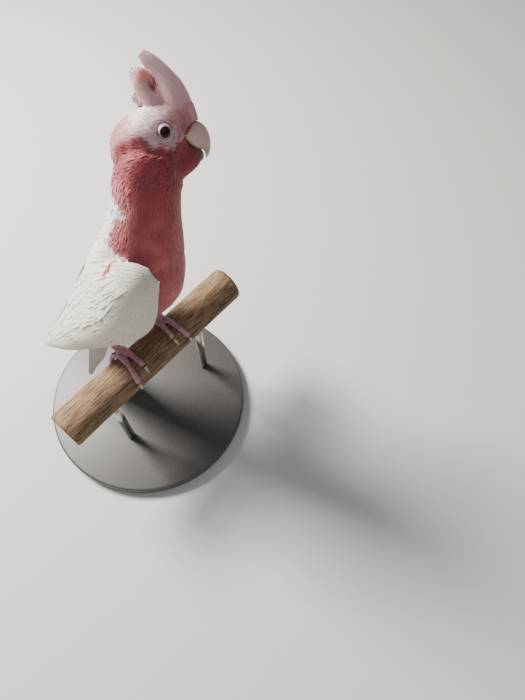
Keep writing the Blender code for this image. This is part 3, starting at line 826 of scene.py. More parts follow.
def makeWings():
    for name, side in (("Right", -1), ("Left", 1)):
        coverts, quills = [], []
        for count, rootFrom, rootTo, tipFrom, tipTo, half, deep, inner in wing["quills"]:
            for i in range(count):
                root = np.array(rootFrom) + np.subtract(rootTo, rootFrom) * i / (count - 1)
                tip = np.array(tipFrom) + np.subtract(tipTo, tipFrom) * i / (count - 1)
                quills.append(wingFeather(side, root, tip, half, deep, 12, inner))
        for start, end, count, half in wing["coverts"]:
            for i in range(count):
                t = (i + 0.3) / (count - 0.4)
                w = 0.03 + 0.94 * t
                tip = (end + 0.6 * t + random.uniform(-0.04, 0.04), w)
                coverts.append(wingFeather(side, (start + 0.4 * t, w), tip, half, 0.10))
        for row in range(wing["innerRows"]):
            for i in range(wing["innerCount"]):
                w = 0.05 + 0.90 * (i + 0.5 * (row % 2)) / (wing["innerCount"] - 0.5)
                s = 4.6 - 1.1 * row
                coverts.append(wingFeather(side, (s - 1.8, w), (s, w), 0.062, 0.09, inner=True))
        for row in range(wing["smallRows"]):        # small coverts up to the wrist
            count = wing["smallCount"] - row
            for i in range(count):
                w = 0.02 + 0.96 * (i + 0.5 * (row % 2)) / (count - 0.5)
                s = 1.62 - 0.27 * row + random.uniform(-0.03, 0.03)
                coverts.append(wingFeather(side, (s - 0.75, w), (s, w), 0.90 / count, 0.09))
        plant("quills" + name, "blade", quills, "flight", "white_feather")
        plant("coverts" + name, "covert", coverts, "flight", "white_feather")


makeWings()

mantle = {
    "rows": 21, "across": 8,        # the feathers that lie on the wing
    "reach": (1.1, 1.7),            # and how far each reaches along it
    "halfWidth": (0.022, 0.034),
    "rise": (0.25, 0.60),           # how far their tips stand off, millimetres
    "backTries": 230,
    "backLength": (14, 20),         # millimetres
    "backLift": (2.3, 2.7),
}


def makeMantle():
    # long soft feathers of the shoulders: some lie over the upper part of each wing, and some
    # come out of the back and cover the wing's upper edge
    for name, side in (("Right", -1), ("Left", 1)):
        made = []
        for row in range(mantle["rows"]):
            for i in range(mantle["across"]):
                s = 0.9 + 0.29 * row + random.uniform(-0.10, 0.10)
                w = 0.985 - 0.045 * i + random.uniform(-0.02, 0.02)
                tip = (s + random.uniform(*mantle["reach"]), w - random.uniform(0.0, 0.07))
                item = wingFeather(side, (s, w), tip, random.uniform(*mantle["halfWidth"]), 0.07, 8)
                rise = random.uniform(*mantle["rise"]) * mm
                item["line"] = [point + normal * rise * (k / 7) ** 0.7
                                for k, (point, normal) in enumerate(zip(item["line"], item["normal"]))]
                item["tip"] = tones["cream"] * random.uniform(0.96, 1.0)
                item["colour"] = item["tip"] * 0.96
                made.append(item)
        for _ in range(mantle["backTries"]):
            s = 1.5 + 5.0 * random.random()
            edge = wingPoint(s, 1.0, side, 0)[0]
            spot = edge + Vector((-side * random.uniform(0.1, 1.3) * cm, 0, 0.2 * cm))
            hit, _, face, _ = skinTree.find_nearest(spot)
            if regionOf(hit) == "wing":
                continue
            lie = (wingPoint(s + 0.6, 0.95, side, 0)[0] - wingPoint(s, 0.95, side, 0)[0]).normalized()
            lie += scatter(0.06)
            length = random.uniform(*mantle["backLength"]) * mm
            line, normals = alongSkin(hit, skinNormals[face], lie, length,
                                      random.uniform(*mantle["backLift"]) * mm, 8)
            tip = tones["cream"] * random.uniform(0.96, 1.0)
            made.append(feather(line, normals, length * random.uniform(0.09, 0.12), 0.12 * vaneThick,
                                0.10, tip * 0.97, tip))
        plant("mantle" + name, "soft", made, "contour", "white_feather")


makeMantle()

armpitTuft = {"count": 30, "length": (4.5, 7), "lift": (3.0, 3.4), "halfWidth": 0.75}


def makeArmpit():
    # a few coral feathers that come out over the wing's upper edge below the shoulder
    made = []
    for _ in range(armpitTuft["count"]):
        spot = armpit[0].lerp(armpit[1], random.random() * 0.85)
        hit, _, face, _ = skinTree.find_nearest(place(*spot))
        lie = (armpit[1] - armpit[0] + scatter(0.3)).normalized()
        length, lift = (random.uniform(*armpitTuft[key]) * mm for key in ("length", "lift"))
        line, normals = alongSkin(hit, skinNormals[face], lie, length, lift)
        tone = tones["coral"] * random.uniform(0.85, 1.05)
        made.append(feather(line, normals, armpitTuft["halfWidth"] * mm, 0.10 * lanceThick, 0.12,
                            tone, tone * 1.05))
    plant("armpit", "narrow", made, "contour", "rose_feather")


makeArmpit()

tail = {
    "steep": 75.0, "turn": 15.0, "length": 14.4, "root": Vector((1.42, 4.55, 2.5)),
    "narrow": 1.25, "spread": 0.70,     # half width at the root, and what it gains by the tip
    "quills": 12, "covertRows": 5,
}


def tailPoint(t, u, height):
    a, turn = radians(tail["steep"]), radians(tail["turn"])
    down = Vector((0, cos(a), -sin(a)))
    side = Vector((cos(turn), -sin(turn), 0))
    side = (side - down * side.dot(down)).normalized()
    back = side.cross(down)
    width = tail["narrow"] + tail["spread"] * max(t, 0.0) ** 0.8
    spot = tail["root"] + down * tail["length"] * t + side * width * u
    return place(*(spot + back * (height - 0.22 * u * u))), back


def makeTail():
    quills, coverts = [], []
    middle = (tail["quills"] - 1) / 2
    tone = tones["cream"] * 0.7 + tones["warmCream"] * 0.3
    for i in range(tail["quills"]):
        u = (i - middle) / middle
        out = abs(u)
        layer = 0.26 * (1 - out) - 0.10 - 0.02 * (i % 2)
        line, normals = traced(lambda t: tailPoint(
            0.02 + (0.965 - 0.03 * out) * t, 0.52 * u * (0.7 + 0.3 * t), layer * (1 - 0.55 * t)), 14)
        quills.append(feather(line, normals, 9.2 * mm, 0.12 * vaneThick, 0.06, tone * 0.95, tone))
    for face in (1, -1):            # coverts over both faces of the tail's root
        tone = tones["cream"] if face > 0 else tones["cream"] * 0.9 + tones["palePink"] * 0.1
        for row in range(tail["covertRows"]):
            for i in range(6 - row % 2):
                u = (i - 2.5 + 0.5 * (row % 2)) / 2.5 * 0.85
                line, normals = traced(lambda t: tailPoint(
                    -0.10 + 0.055 * row + 0.26 * t, u * (0.9 - 0.1 * t), face * (0.42 - 0.12 * t)), 7)
                normals = [normal * face for normal in normals]
                coverts.append(feather(line, normals, 6.5 * mm, 0.10 * vaneThick, 0.2, tone * 0.93, tone))
    plant("tailQuills", "blade", quills, "flight", "white_feather", "tail")
    plant("tailCoverts", "covert", coverts, "contour", "white_feather")


makeTail()

crestLobes = {  # forward, up, half depth and half width, from the crown to the tips
    "front": [(1.15, 0.20, 1.22, 1.05), (0.78, 1.45, 1.02, 1.00), (0.34, 2.36, 0.76, 0.80),
              (-0.22, 3.06, 0.52, 0.58), (-0.72, 3.54, 0.38, 0.40), (-1.12, 3.80, 0.20, 0.20)],
    "rear": [(-0.20, 0.80, 0.85, 0.90), (-0.60, 1.60, 0.72, 0.80), (-0.98, 2.20, 0.62, 0.66),
             (-1.25, 2.65, 0.46, 0.48), (-1.58, 2.92, 0.16, 0.20)],
    "finger": [(-0.70, 1.10, 0.30, 0.40), (-1.10, 1.30, 0.26, 0.32), (-1.45, 1.42, 0.22, 0.24),
               (-1.68, 1.46, 0.10, 0.10)],
}


def lobePoint(rows, at, turn, sink):
    forward, up, depth, width = between(rows, at)
    ahead, behind = between(rows, min(at + 0.3, len(rows) - 1)), between(rows, max(at - 0.3, 0))
    along = Vector(ahead[:2] - behind[:2]).normalized()
    across = headForward * along.y - headUp * along.x
    out = (headRight * cos(turn) * depth + across * sin(turn) * width).normalized()
    spot = headPoint(forward, up) + (headRight * width * cos(turn) + across * depth * sin(turn)) * cm
    return spot - out * sink * mm, out


def paintCup(piece):
    # salmon and dark rose inside the cup of the rear lobe, and dusty pink at the crest's foot
    points = pointsOf(piece.data)
    colours = np.empty(len(points) * 4)
    layer = piece.data.color_attributes["plumage"].data
    layer.foreach_get("color", colours)
    colours = colours.reshape(-1, 4)
    f, u, r = inHeadAll(points)
    patch = noiseAt(points, 420)
    washes = []
    for tone, middle, size, most in crest["cup"]:
        off = ((f - middle[0]) / size[0]) ** 2 + ((u - middle[1]) / size[1]) ** 2
        mottled = most * np.clip(1 + 0.8 * patch, 0, 1.1) * smooth(-0.9, 0.0, r)
        washes.append((tone, mottled * np.exp(-off ** 1.4)))
    foot = 0.7 * smooth(0.8, 1.5, f) * smooth(1.7, 0.8, u)
    washes.append(("dustyPink", foot * np.clip(0.8 + patch, 0, 1)))
    colours[:, :3] = layered(colours[:, :3], *washes)
    layer.foreach_set("color", colours.astype(np.float32).ravel())


crest = {
    # rings of feathers: first and last place along the lobe, how many, half width, and depth of
    # root and tip, millimetres
    "front": [(1.6, 5.0, 8, 2.0, 1.6, 0.1), (1.1, 4.9, 12, 2.1, 1.5, 0.0),
              (0.7, 4.55, 16, 2.2, 1.4, -0.2), (0.4, 3.9, 18, 2.3, 1.3, -0.25),
              (0.2, 3.2, 19, 2.4, 1.2, -0.3), (0.1, 2.4, 20, 2.4, 1.2, -0.3)],
    "rear": [(1.0, 3.98, 8, 1.9, 1.3, -0.2), (0.7, 3.8, 11, 2.0, 1.2, -0.7),
             (0.4, 3.3, 13, 2.0, 1.1, -0.8), (0.2, 2.6, 14, 2.1, 1.1, -0.5),
             (0.1, 1.9, 14, 2.2, 1.0, -0.3)],
    "finger": [(0.1, 2.7, 7, 1.5, 0.7, 0.0), (0.3, 2.95, 7, 1.3, 0.8, 0.1), (0.0, 1.9, 8, 1.6, 0.6, -0.1)],
    # washes of the cup: tone, middle forward and up, reach each way, share
    "cup": [("salmon", (-1.02, 2.72), (0.46, 0.42), 0.95), ("dustyPink", (-0.86, 2.25), (0.34, 0.30), 0.50),
            ("darkCrest", (-0.48, 2.30), (0.24, 0.42), 0.95)],
    "steps": 12,
}


def makeCrest():
    made = []
    for name, rows in crestLobes.items():
        for ring, (root, tip, count, width, deep, high) in enumerate(crest[name]):
            for i in range(count):
                turn = 2 * pi * (i + 0.5 * (ring % 2) + random.uniform(-0.2, 0.2)) / count
                rosy = random.uniform(0.0, 1.0)
                tone = tones["lilac"] * (1 - rosy) + tones["crestPink"] * rosy
                tone = tone * random.uniform(0.90, 1.08)
                edge = np.clip(tone * 0.45 + tones["palePink"] * 0.58, 0, 1)
                if name == "finger":
                    tone, edge = tones["palePink"] * 0.95, tones["palePink"] * 1.05
                start = root + random.uniform(0, 0.15)
                end = tip - random.uniform(0, 0.11) * tip
                half = width * random.uniform(0.8, 1.1) * mm
                rise = high - random.uniform(0, 0.4) - deep
                drift = random.uniform(-0.2, 0.2)
                line, normals = traced(
                    lambda t: lobePoint(rows, start + (end - start) * t, turn + drift * t,
                                        deep + rise * t ** 1.5),
                    crest["steps"])
                made.append(feather(line, normals, half, 0.08 * vaneThick, 0.12, tone, edge))
    paintCup(plant("crestPlumes", "crest", made, "contour", "blush_feather"))


makeCrest()

crestTips = {
    # feathers inside the cup: root forward and up, tip forward and up, half width in millimetres
    "cup": [(-0.80, 1.80, -1.18, 2.92, 1.7), (-0.66, 1.75, -0.98, 2.96, 1.7),
            (-0.52, 1.80, -0.78, 2.90, 1.7), (-0.40, 1.80, -0.60, 2.80, 1.6),
            (-0.30, 1.80, -0.44, 2.66, 1.5), (-0.22, 1.75, -0.30, 2.50, 1.4)],
    # and at the lobes' ends, with slits between them; the last number is the share of pink
    "front": [(-0.16, 2.70, -0.76, 3.90, 1.7, 0.5), (-0.34, 2.80, -1.02, 3.82, 1.4, 0.5),
              (-0.50, 2.85, -1.24, 3.66, 1.3, 0.5)],
    "rear": [(-0.90, 2.20, -1.42, 3.10, 1.5, 0.5), (-1.00, 2.10, -1.66, 3.05, 1.3, 0.15),
             (-1.05, 2.00, -1.75, 2.86, 1.2, 0.15), (-1.08, 1.90, -1.77, 2.66, 1.2, 0.15),
             (-1.05, 1.80, -1.72, 2.46, 1.1, 0.15), (-1.00, 1.70, -1.62, 2.25, 1.1, 0.15)],
    "finger": [(-0.75, 1.45, -1.58, 1.66, 1.4, 0.8), (-0.75, 1.36, -1.68, 1.50, 1.4, 0.8),
               (-0.75, 1.24, -1.58, 1.36, 1.3, 0.8)],
    # for each lobe, how far its pairs stand apart at the tip, how much more at the root, and their bow
    "spread": {"front": (0.07, 0.42, 0.09), "rear": (0.07, 0.50, 0.09), "finger": (0.16, 0.30, 0.0)},
}


def tipFeather(ends, side, apart, closing, bow, tone, tip):
    f0, u0, f1, u1, width = ends
    line = []
    for k in range(crest["steps"]):
        t = k / (crest["steps"] - 1)
        bend = bow * sin(pi * t)
        line.append(headPoint(f0 + (f1 - f0) * t + bend, u0 + (u1 - u0) * t + bend * 0.6,
                              side * (apart + closing * (1 - t))))
    return feather(line, [headRight * side] * len(line), width * mm, 0.16 * vaneThick, 0.15, tone, tip)


def makeCrestTips():
    made = []
    for i, ends in enumerate(crestTips["cup"]):
        for side in (1, -1):
            dark = min(1.0, max(0.0, (i - 2.5) / 2))
            tone = (tones["softRose"] * (1 - dark) + tones["darkCrest"] * dark) * random.uniform(0.95, 1.05)
            tip = tones["salmon"] * (1 - dark) + tones["darkCrest"] * dark * 1.2
            made.append(tipFeather(ends, side, 0.44 - 0.03 * (i % 2), 0.16, 0.0, tone, tip))
    for lobe, spread in crestTips["spread"].items():
        for *ends, blushed in crestTips[lobe]:
            for side in (1, -1):
                pale = tones["palePink"] * random.uniform(0.95, 1.05)
                tone = tones["crestPink"] * blushed + pale * (1 - blushed)
                made.append(tipFeather(ends, side, *spread, tone, tone * 0.35 + pale * 0.65))
    plant("crestTips", "crest", made, "contour", "blush_feather")


makeCrestTips()
print("feathers grown")


# Eyes.
eye = {
    "radius": 4.2 * mm,
    "offset": 1.52,         # from the head's middle, centimetres
    "iris": 0.72,           # the iris starts at this cosine from the way out, and the pupil at these
    "pupil": (0.88, 0.93),
    "cornea": 0.35 * mm,
    "tones": {"iris": "#3A1A20", "pupil": "#0A0406", "rim": "#1C0D11"},
}


def makeEyes():
    # a wet eyeball: smooth and glossy, so it holds one sharp highlight
    material, tree = newMaterial("wetEye", Roughness=0.22, IOR=1.34, Specular_IOR_Level=0.3)
    addNode(tree, "Principled BSDF", Base_Color=addNode(tree, "ShaderNodeAttribute", plumage))
    iris, pupil, rim = (linear(eye["tones"][key]) for key in ("iris", "pupil", "rim"))
    for name, side in (("right", 1), ("left", -1)):
        out = (headRight * side + headForward * 0.16).normalized()
        middle = headPoint(0, 0, side * eye["offset"])
        work = bmesh.new()
        turned = out.to_track_quat("Z", "Y").to_matrix().to_4x4()
        bmesh.ops.create_uvsphere(work, u_segments=40, v_segments=28, radius=eye["radius"],
                                  matrix=Matrix.Translation(middle) @ turned)
        tints = []
        for vert in work.verts:
            facing = (vert.co - middle).normalized().dot(out)
            vert.co += out * eye["cornea"] * smooth(0.62, 1.0, facing)
            inner = smooth(*eye["pupil"], facing)
            tints.append(iris * (1 - inner) + pupil * inner if facing > eye["iris"] else rim)
        mesh = meshFrom("eyeball", work)
        setColours(mesh, tints)
        addPiece("eyeball" + name.capitalize(), mesh, material, "eye", "eye_" + name)


makeEyes()

lid = {
    "opening": 2.95,        # millimetres from the eye's middle to the inner edge
    "reach": (7.3, 1.4),    # and to the outer edge, with what it gains towards the front below
    "folds": [(0.50, 0.17, 0.09), (0.40, 0.48, 0.10), (0.30, 0.74, 0.08)],  # height, place, width
    "thickness": 0.35 * mm,
    "steps": 16, "around": 72,
}


def bareSkinMaterial():
    # bare wrinkled skin round the eye: waxy, faintly pink where the blood shows through
    made, tree = newMaterial("bareEyeSkin", Roughness=0.48, IOR=1.4, Subsurface_Weight=0.15,
                             Subsurface_Scale=0.001)
    where = addNode(tree, "ShaderNodeTexCoord").outputs["Object"]
    cells = addNode(tree, "ShaderNodeTexVoronoi", Vector=where, Scale=1700.0)
    clouds = addNode(tree, "ShaderNodeTexNoise", Vector=where, Scale=420.0, Detail=3.0)
    tone = addNode(tree, "ShaderNodeValToRGB", None,
                   [(0.30, "#957A7E"), (0.55, "#B09599"), (0.80, "#CFBCBD")], Fac=clouds)
    bump = addNode(tree, "ShaderNodeBump", Height=cells, Strength=0.5, Distance=0.0002)
    addNode(tree, "Principled BSDF", Base_Color=tone, Normal=bump)
    return made


def makeEyeRings():
    material = bareSkinMaterial()
    for name, side in (("right", 1), ("left", -1)):
        middle = headPoint(0, 0, side * eye["offset"])
        out = (headRight * side + headForward * 0.20).normalized()
        ahead = (headForward - out * headForward.dot(out)).normalized()
        above = out.cross(ahead) * (1 if out.cross(ahead).dot(headUp) > 0 else -1)
        work = bmesh.new()
        for step, ring in enumerate(sweptRings(work, lid["around"], lid["steps"] + 1)):
            k = step / lid["steps"]
            sunk = 0.5 if step == 0 else (0.45 if step == lid["steps"] else 0.0)
            for vert in ring:
                turn = atan2(vert.co.y, vert.co.x)
                reach = lid["reach"][0] + lid["reach"][1] * cos(turn + radians(40))
                away = lid["opening"] + (reach - lid["opening"]) * k
                spot = middle + (ahead * cos(turn) + above * sin(turn)) * away * mm
                hit = skinTree.ray_cast(spot + out * 9 * mm, -out)[0]
                ground = (hit - middle).dot(out) if hit else 3.4 * mm
                ball = sqrt(max(0.0, (eye["radius"] / mm + 0.15) ** 2 - away ** 2)) * mm
                level = ball + (ground - ball) * smooth(0.05, 0.60, k)
                level = max(level, ball + 0.1 * mm) if ball > 0 else level
                fold = sum(high * exp(-((k - at) / wide) ** 2) for high, at, wide in lid["folds"])
                wrinkle = 0.07 * sin(turn * 17 + 9 * k) + 0.06 * sin(turn * 31 - 14 * k)
                rise = fold * (1 + 0.16 * sin(turn * 5)) + wrinkle * sin(pi * k) - sunk + 0.15
                vert.co = spot + out * (level + rise * mm)
        bmesh.ops.recalc_face_normals(work, faces=work.faces)
        bmesh.ops.solidify(work, geom=work.faces[:], thickness=lid["thickness"])
        bmesh.ops.recalc_face_normals(work, faces=work.faces)
        addPiece("eyeRing" + name.capitalize(), work, material, "bare_eye_skin", "eye_ring_" + name)


makeEyeRings()
print("eyes made")


# The bill.
bill = {     # places forward and up in the head, centimetres
    "ridge": [(1.60, 0.42), (2.18, 0.40), (2.62, 0.10), (2.88, -0.35), (2.97, -0.75), (2.98, -1.10),
              (2.93, -1.40), (2.84, -1.60), (2.74, -1.72)],
    # the cutting edges, with half the width between them
    "edge": [(0.90, -0.36, 0.86), (1.22, -0.48, 0.86), (1.64, -0.84, 0.75), (2.06, -1.08, 0.60),
             (2.40, -1.14, 0.44), (2.58, -1.28, 0.30), (2.66, -1.46, 0.18), (2.69, -1.60, 0.09),
             (2.70, -1.70, 0.03)],
    # the lower bill, with half its depth and width
    "scoop": [(1.20, -1.22, 0.45, 0.64), (1.75, -1.40, 0.50, 0.60), (2.15, -1.50, 0.47, 0.48),
              (2.40, -1.54, 0.38, 0.34), (2.56, -1.58, 0.18, 0.16)],
    "rings": 40,
    "around": 44,
    # the dark brown tip tone is the horn's yellower tip with painted shade
    "tones": {"base": "#CBAA9D", "tip": "#85704F", "ridge": "#E0D4C4", "blush": "#C99A90"},
    # the whole lower bill is darkened by this share: painted shade
    "lowerShade": 0.55,
}


def sweptHorn(placeOf):
    # rings swept from the face to the tip; placeOf gives each corner's place
    work = bmesh.new()
    for step, ring in enumerate(sweptRings(work, bill["around"], bill["rings"])):
        for vert in ring:
            vert.co = placeOf(step / (bill["rings"] - 1), atan2(vert.co.y, vert.co.x))
    bmesh.ops.holes_fill(work, edges=[edge for edge in work.edges if edge.is_boundary], sides=0)
    bmesh.ops.recalc_face_normals(work, faces=work.faces)
    return work


def upperPlace(t, angle):
    at = t * (len(bill["ridge"]) - 1)
    ridge, edge = between(bill["ridge"], at), between(bill["edge"], at)
    high, low = headPoint(*ridge), headPoint(*edge[:2])
    x, y = cos(angle), sin(angle)
    if y > 0:
        reach = (0.78 + 0.02 * y ** 8) * y
    else:                               # flat below, with a shallow hollow between the sharp edges
        reach = 0.34 * y * (0.70 + 0.30 * abs(x) ** 1.5)
    narrow = 1 - 0.30 * max(0.0, y) * (1 - smooth(0.0, 0.38, t))
    return low.lerp(high, 0.22) + (high - low) * reach + headRight * edge[2] * cm * x * narrow


def lowerPlace(t, angle):
    forward, up, depth, width = between(bill["scoop"], t * (len(bill["scoop"]) - 1))
    x, y = cos(angle), sin(angle)
    rise = y if y < 0 else y * 0.95
    return headPoint(forward, up) + (headRight * width * x + headUp * depth * rise) * cm


def billTone(point):
    f, u, r = inHead(point)
    tone, *others = (linear(bill["tones"][key]) for key in ("base", "tip", "ridge", "blush"))
    # the hook and lower part of the upper bill turn dark brown: a yellower horn tip with painted shade
    shares = (smooth(-0.7, -1.45, u), exp(-(r / 0.22) ** 2) * smooth(1.9, 2.6, f),
              0.30 * exp(-((f - 2.75) / 0.25) ** 2 - ((u + 0.3) / 0.35) ** 2))
    for other, share in zip(others, shares):
        tone = tone * (1 - share) + other * share
    return tone


def makeBill():
    # horn: pale, faintly translucent, with growth lines and a yellower thin tip
    material = cloudMaterial("billHorn", 520.0, 4.0, ((0.3, 0.86), (0.7, 1.0)), (0.25, 0.0003), True,
                             Roughness=0.38, IOR=1.55, Subsurface_Weight=0.12, Subsurface_Scale=0.002)
    # the lower bill's colours are darkened as painted shade
    for name, placeOf, shade, nodeName in (("billUpper", upperPlace, 1.0, "bill_upper"),
                                           ("billLower", lowerPlace, bill["lowerShade"], "bill_lower")):
        work = sweptHorn(placeOf)
        relax(work, 1, 0.4)
        tints = [billTone(vert.co) * shade for vert in work.verts]
        mesh = meshFrom(name, work)
        setColours(mesh, tints)
        addPiece(name, mesh, material, "bill_horn", nodeName)


makeBill()

lore = {
    "tries": 420,
    "up": (-0.52, 0.46),        # roots lie between these heights from the eye, centimetres
    "depth": 0.40,              # and this far back from the slanting line where they end
    "length": (0.20, 0.30),
    "halfWidth": 0.42 * mm,
    "steps": 5,
}


def makeLore():
    # short face feathers that lap forward over the root of the bill, up to a slanting line
    trees = (treeOf(["bill_upper"]), skinTree)
    made = []
    for i in range(lore["tries"]):
        side = 1 if i % 2 else -1
        u = random.uniform(*lore["up"])
        f = 1.20 + (u + 0.45) * 0.90 - 0.23 - lore["depth"] * random.random()
        long = random.uniform(*lore["length"])
        line, normals = [], []
        for k in range(lore["steps"]):
            t = k / (lore["steps"] - 1)
            start = headPoint(f + 0.93 * long * t, u - 0.30 * long * t, side * 2.2)
            hits = [tree.ray_cast(start, -headRight * side, 0.022) for tree in trees]
            hits = [hit for hit in hits if hit[0]]
            if not hits:
                break
            spot, normal = min(hits, key=lambda hit: hit[3])[:2]
            line.append(spot + normal * (0.15 + 0.55 * t) * mm)
            normals.append(normal)
        if len(line) == lore["steps"]:
            made.append(feather(line, normals, lore["halfWidth"], 0.10 * lanceThick, 0.1, None, None))
    for item, colour in zip(made, markings(np.array([item["line"][0] for item in made]))):
        item["colour"], item["tip"] = colour, np.clip(colour * 1.06, 0, 1)
    plant("lore", "small", made, "contour", "rose_feather")


makeLore()
print("bill made")


# Feet and claws.
foot = {"voxel": 0.55 * mm, "scute": 1.7, "relief": 0.16 * mm}      # a scute every 1.7 mm along a toe
perch = {"radius": 17.5, "length": 200.0, "around": 160, "rings": 80, "crackTurn": 128.0}


def scalyMaterial():
    # scaled foot skin: dusty mauve, drier and paler on the raised scales
    made, tree = newMaterial("scaledFootSkin", Roughness=0.55, IOR=1.45, Subsurface_Weight=0.08,
                             Subsurface_Scale=0.001)
    where = addNode(tree, "ShaderNodeTexCoord").outputs["Object"]
    scales = addNode(tree, "ShaderNodeTexVoronoi", {"feature": "DISTANCE_TO_EDGE"}, Vector=where,
                     Scale=900.0)
    clouds = addNode(tree, "ShaderNodeTexNoise", Vector=where, Scale=260.0, Detail=3.0)
    base = addNode(tree, "ShaderNodeValToRGB", None, [(0.30, "#9C6A74"), (0.70, "#BD8D94")], Fac=clouds)
    seams = addNode(tree, "ShaderNodeValToRGB", None, [(0.0, 0.55), (0.12, 1.0)],
                    Fac=scales.outputs["Distance"])
    mixed = addNode(tree, "ShaderNodeMix", multiply, i0=1.0, i6=base, i7=seams)
    bump = addNode(tree, "ShaderNodeBump", Height=seams, Strength=0.6, Distance=0.0003)
    addNode(tree, "Principled BSDF", Base_Color=mixed.outputs[2], Normal=bump)
    return made


def makeFeet():
    material = scalyMaterial()
    branchMiddle = pose["feet"] - Vector((0, 0, perch["radius"] * mm))
    for name in ("left", "right"):
        work = remeshed(mergedNodes(["foot_" + name]), foot["voxel"], 3)
        for vert in work.verts:
            away = vert.co - branchMiddle
            turn = atan2(away.dot(branchFront), away.z)
            scute = abs(sin(turn * perch["radius"] / foot["scute"] * pi)) ** 0.6
            vert.co += vert.normal * (scute - 0.6) * foot["relief"]
        addPiece("foot" + name.capitalize(), work, material, "foot_skin", "foot_" + name)
    # horn claws: smooth and a little glossy, in paler and darker streaks
    horn = cloudMaterial("clawHorn", 800.0, 2.0, ((0.3, "#9A8079"), (0.7, "#C9B6AA")), Roughness=0.3,
                         IOR=1.55)
    for name in sorted(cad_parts):
        if name.startswith("claw_"):
            work = mergedNodes([name])
            bmesh.ops.subdivide_edges(work, edges=work.edges, cuts=2, use_grid_fill=True)
            relax(work, 3, 0.4)
            addPiece("".join(word.capitalize() for word in name.split("_")).replace("Claw", "claw"),
                     work, horn, "claw_horn", name)


makeFeet()
print("feet made")


# Perch and stand.
def woodMaterial():
    # weathered bare branch: grey-tan, long dark grain lines, drying checks
    made, tree = newMaterial("weatheredBranchWood", Roughness=0.78, IOR=1.5, Specular_IOR_Level=0.25)
    where = addNode(tree, "ShaderNodeTexCoord").outputs["Object"]
    turned = addNode(tree, "ShaderNodeMapping", {"vector_type": "POINT"}, Vector=where,
                     Rotation=(0, 0, radians(-pose["branchTurn"])))
    drawn = addNode(tree, "ShaderNodeMapping", Vector=turned, Scale=(0.07, 1, 1))
    grain = addNode(tree, "ShaderNodeTexNoise", Vector=drawn, Scale=900.0, Detail=6.0, Roughness=0.65)
    blotch = addNode(tree, "ShaderNodeTexNoise", Vector=turned, Scale=45.0, Detail=4.0)
    base = addNode(tree, "ShaderNodeValToRGB", None,
                   [(0.36, "#3F2F21"), (0.46, "#705840"), (0.60, "#957B5D"), (0.80, "#AB9270")], Fac=grain)
    patch = addNode(tree, "ShaderNodeValToRGB", None, [(0.35, 0.70), (0.65, 1.0)], Fac=blotch)
    mixed = addNode(tree, "ShaderNodeMix", multiply, i0=1.0, i6=base, i7=patch)
    bump = addNode(tree, "ShaderNodeBump", Height=grain, Strength=0.7, Distance=0.0005)
    addNode(tree, "Principled BSDF", Base_Color=mixed.outputs[2], Normal=bump)
    return made


def makePerch():
    work = bmesh.new()
    middle = pose["feet"] - Vector((0, 0, perch["radius"] * mm))
    turned = branchAlong.to_track_quat("Z", "Y").to_matrix()
    bmesh.ops.create_cone(work, cap_ends=True, segments=perch["around"], radius1=1, radius2=1, depth=1)
    sides = [edge for edge in work.edges if abs(edge.verts[0].co.z - edge.verts[1].co.z) > 0.5]
    bmesh.ops.subdivide_edges(work, edges=sides, cuts=perch["rings"])
    for face in [face for face in work.faces if len(face.verts) > 4]:
        for _ in range(3):
            bmesh.ops.inset_region(work, faces=[face], thickness=0.25)
    for vert in work.verts:
        t = vert.co.z
        out = hypot(vert.co.x, vert.co.y)
        spot = turned @ Vector((vert.co.x, vert.co.y, 0))
        turn = atan2(spot.dot(branchFront), spot.z)
        groove = (turn - radians(perch["crackTurn"] - 8 * sin(6 * t)) + pi) % (2 * pi) - pi
        crack = 2.2 * exp(-(groove / 0.035) ** 2) * smooth(0.62, 0.3, abs(t + 0.1))
        ridges = 0.10 * noise.noise(Vector((spot.x * 9, spot.y * 9, t * 3 + spot.z * 9)))
        wave = 0.35 * sin(3 * turn + 5 * t) + 0.3 * sin(9 * t + turn) - 0.14 * (1 - cos(turn))
        radius = (perch["radius"] - 0.45 + wave + ridges - crack) * out
        if out > 0.98:                  # the sawn edges are a little rounded
            radius -= 0.8 * smooth(0.985, 1.0, abs(t) * 2)
        vert.co = middle + branchAlong * t * perch["length"] * mm + spot.normalized() * radius * mm
    bmesh.ops.recalc_face_normals(work, faces=work.faces)
    addPiece("perchBranch", work, woodMaterial(), "bare_wood", "perch")


makePerch()

stand = {"rounding": 2.2 * mm, "baseTones": ("#3A3836", "#454240"), "rodTone": "#B9B8B4"}


def cylinderIn(low, high, segments):
    radius = (high.x - low.x) / 2
    work = bmesh.new()
    bmesh.ops.create_cone(work, cap_ends=True, segments=segments, radius1=radius, radius2=radius,
                          depth=high.z - low.z, matrix=Matrix.Translation((low + high) / 2))
    return work


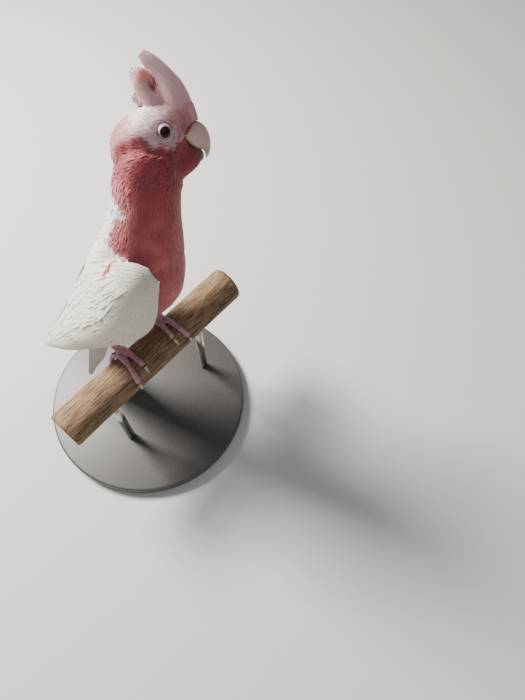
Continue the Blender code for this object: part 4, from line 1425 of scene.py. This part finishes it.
def makeStand():
    # satin paint: a broad soft highlight over a faint orange peel
    dark, light = stand["baseTones"]
    satin = cloudMaterial("satinPaintedBase", 700.0, 2.0, ((0.3, dark), (0.7, light)), (0.15, 0.0002),
                          Roughness=0.42, IOR=1.5)
    low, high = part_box("stand_base")
    work = cylinderIn(low, high, 160)
    rims = [edge for edge in work.edges if abs(edge.verts[0].co.z - edge.verts[1].co.z) < 1e-6]
    bmesh.ops.bevel(work, geom=rims, offset=stand["rounding"], segments=5, profile=0.5, affect="EDGES",
                    material=-1)
    addPiece("standBaseDisc", work, satin, "stand_base_paint", "stand_base")
    # steel brushed lengthwise: fine lines along the rod widen its highlight; real ones are too
    # fine to show, so these are about 0.3 mm apart
    steel, tree = newMaterial("brushedSteelRod", Base_Color=(*linear(stand["rodTone"]), 1), Roughness=0.28,
                              Metallic=1.0)
    where = addNode(tree, "ShaderNodeTexCoord").outputs["Object"]
    drawn = addNode(tree, "ShaderNodeMapping", Vector=where, Scale=(1, 1, 0.02))
    hair = addNode(tree, "ShaderNodeTexNoise", Vector=drawn, Scale=3000.0, Detail=2.0)
    bump = addNode(tree, "ShaderNodeBump", Height=hair, Strength=0.2, Distance=0.0001)
    addNode(tree, "Principled BSDF", Normal=bump)
    for name in ("stand_rod_left", "stand_rod_right"):
        low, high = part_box(name)
        addPiece("rod" + name.split("_")[2].capitalize(), cylinderIn(low, high, 48), steel,
                 "stand_rod_steel", name)


makeStand()
print("perch and stand made")


# Floor and light.
studio = {
    "floor": "#C9C7C3",
    "sky": (0.92, 0.95, 1.0, 1), "skyStrength": 0.32,
    "aim": Vector((0.02, 0.0, 0.22)), "distance": 1.1,
    # way from the bird, size in metres, power in watts and tint
    "lights": {"key": ((0.38, 0.98, 1.0), 0.4, 54.0, (1.0, 0.96, 0.90)),
               "fill": ((-0.9, -0.6, 0.9), 1.4, 3.0, (0.95, 0.97, 1.0))},
}


def makeStudio():
    work = bmesh.new()
    bmesh.ops.create_grid(work, x_segments=1, y_segments=1, size=6)
    floor = bpy.data.objects.new("floor", meshFrom("floor", work))
    floor.location.z = -0.0005
    # background paper: matt, so it shows soft shadows and no highlight
    paper, _ = newMaterial("paleStudioPaper", Base_Color=(*linear(studio["floor"]), 1), Roughness=0.9)
    floor.data.materials.append(paper)
    bpy.context.scene.collection.objects.link(floor)
    world = bpy.data.worlds.new("studio")
    world.use_nodes = True
    world.node_tree.nodes["Background"].inputs["Color"].default_value = studio["sky"]
    world.node_tree.nodes["Background"].inputs["Strength"].default_value = studio["skyStrength"]
    bpy.context.scene.world = world
    for name, (way, size, power, tint) in studio["lights"].items():
        light = bpy.data.lights.new(name, "AREA")
        light.size = size
        light.energy = power
        light.color = tint
        item = bpy.data.objects.new(name, light)
        item.location = studio["aim"] + Vector(way).normalized() * studio["distance"]
        item.rotation_euler = Vector(way).to_track_quat("Z", "Y").to_euler()
        bpy.context.scene.collection.objects.link(item)


makeStudio()
print("finished")
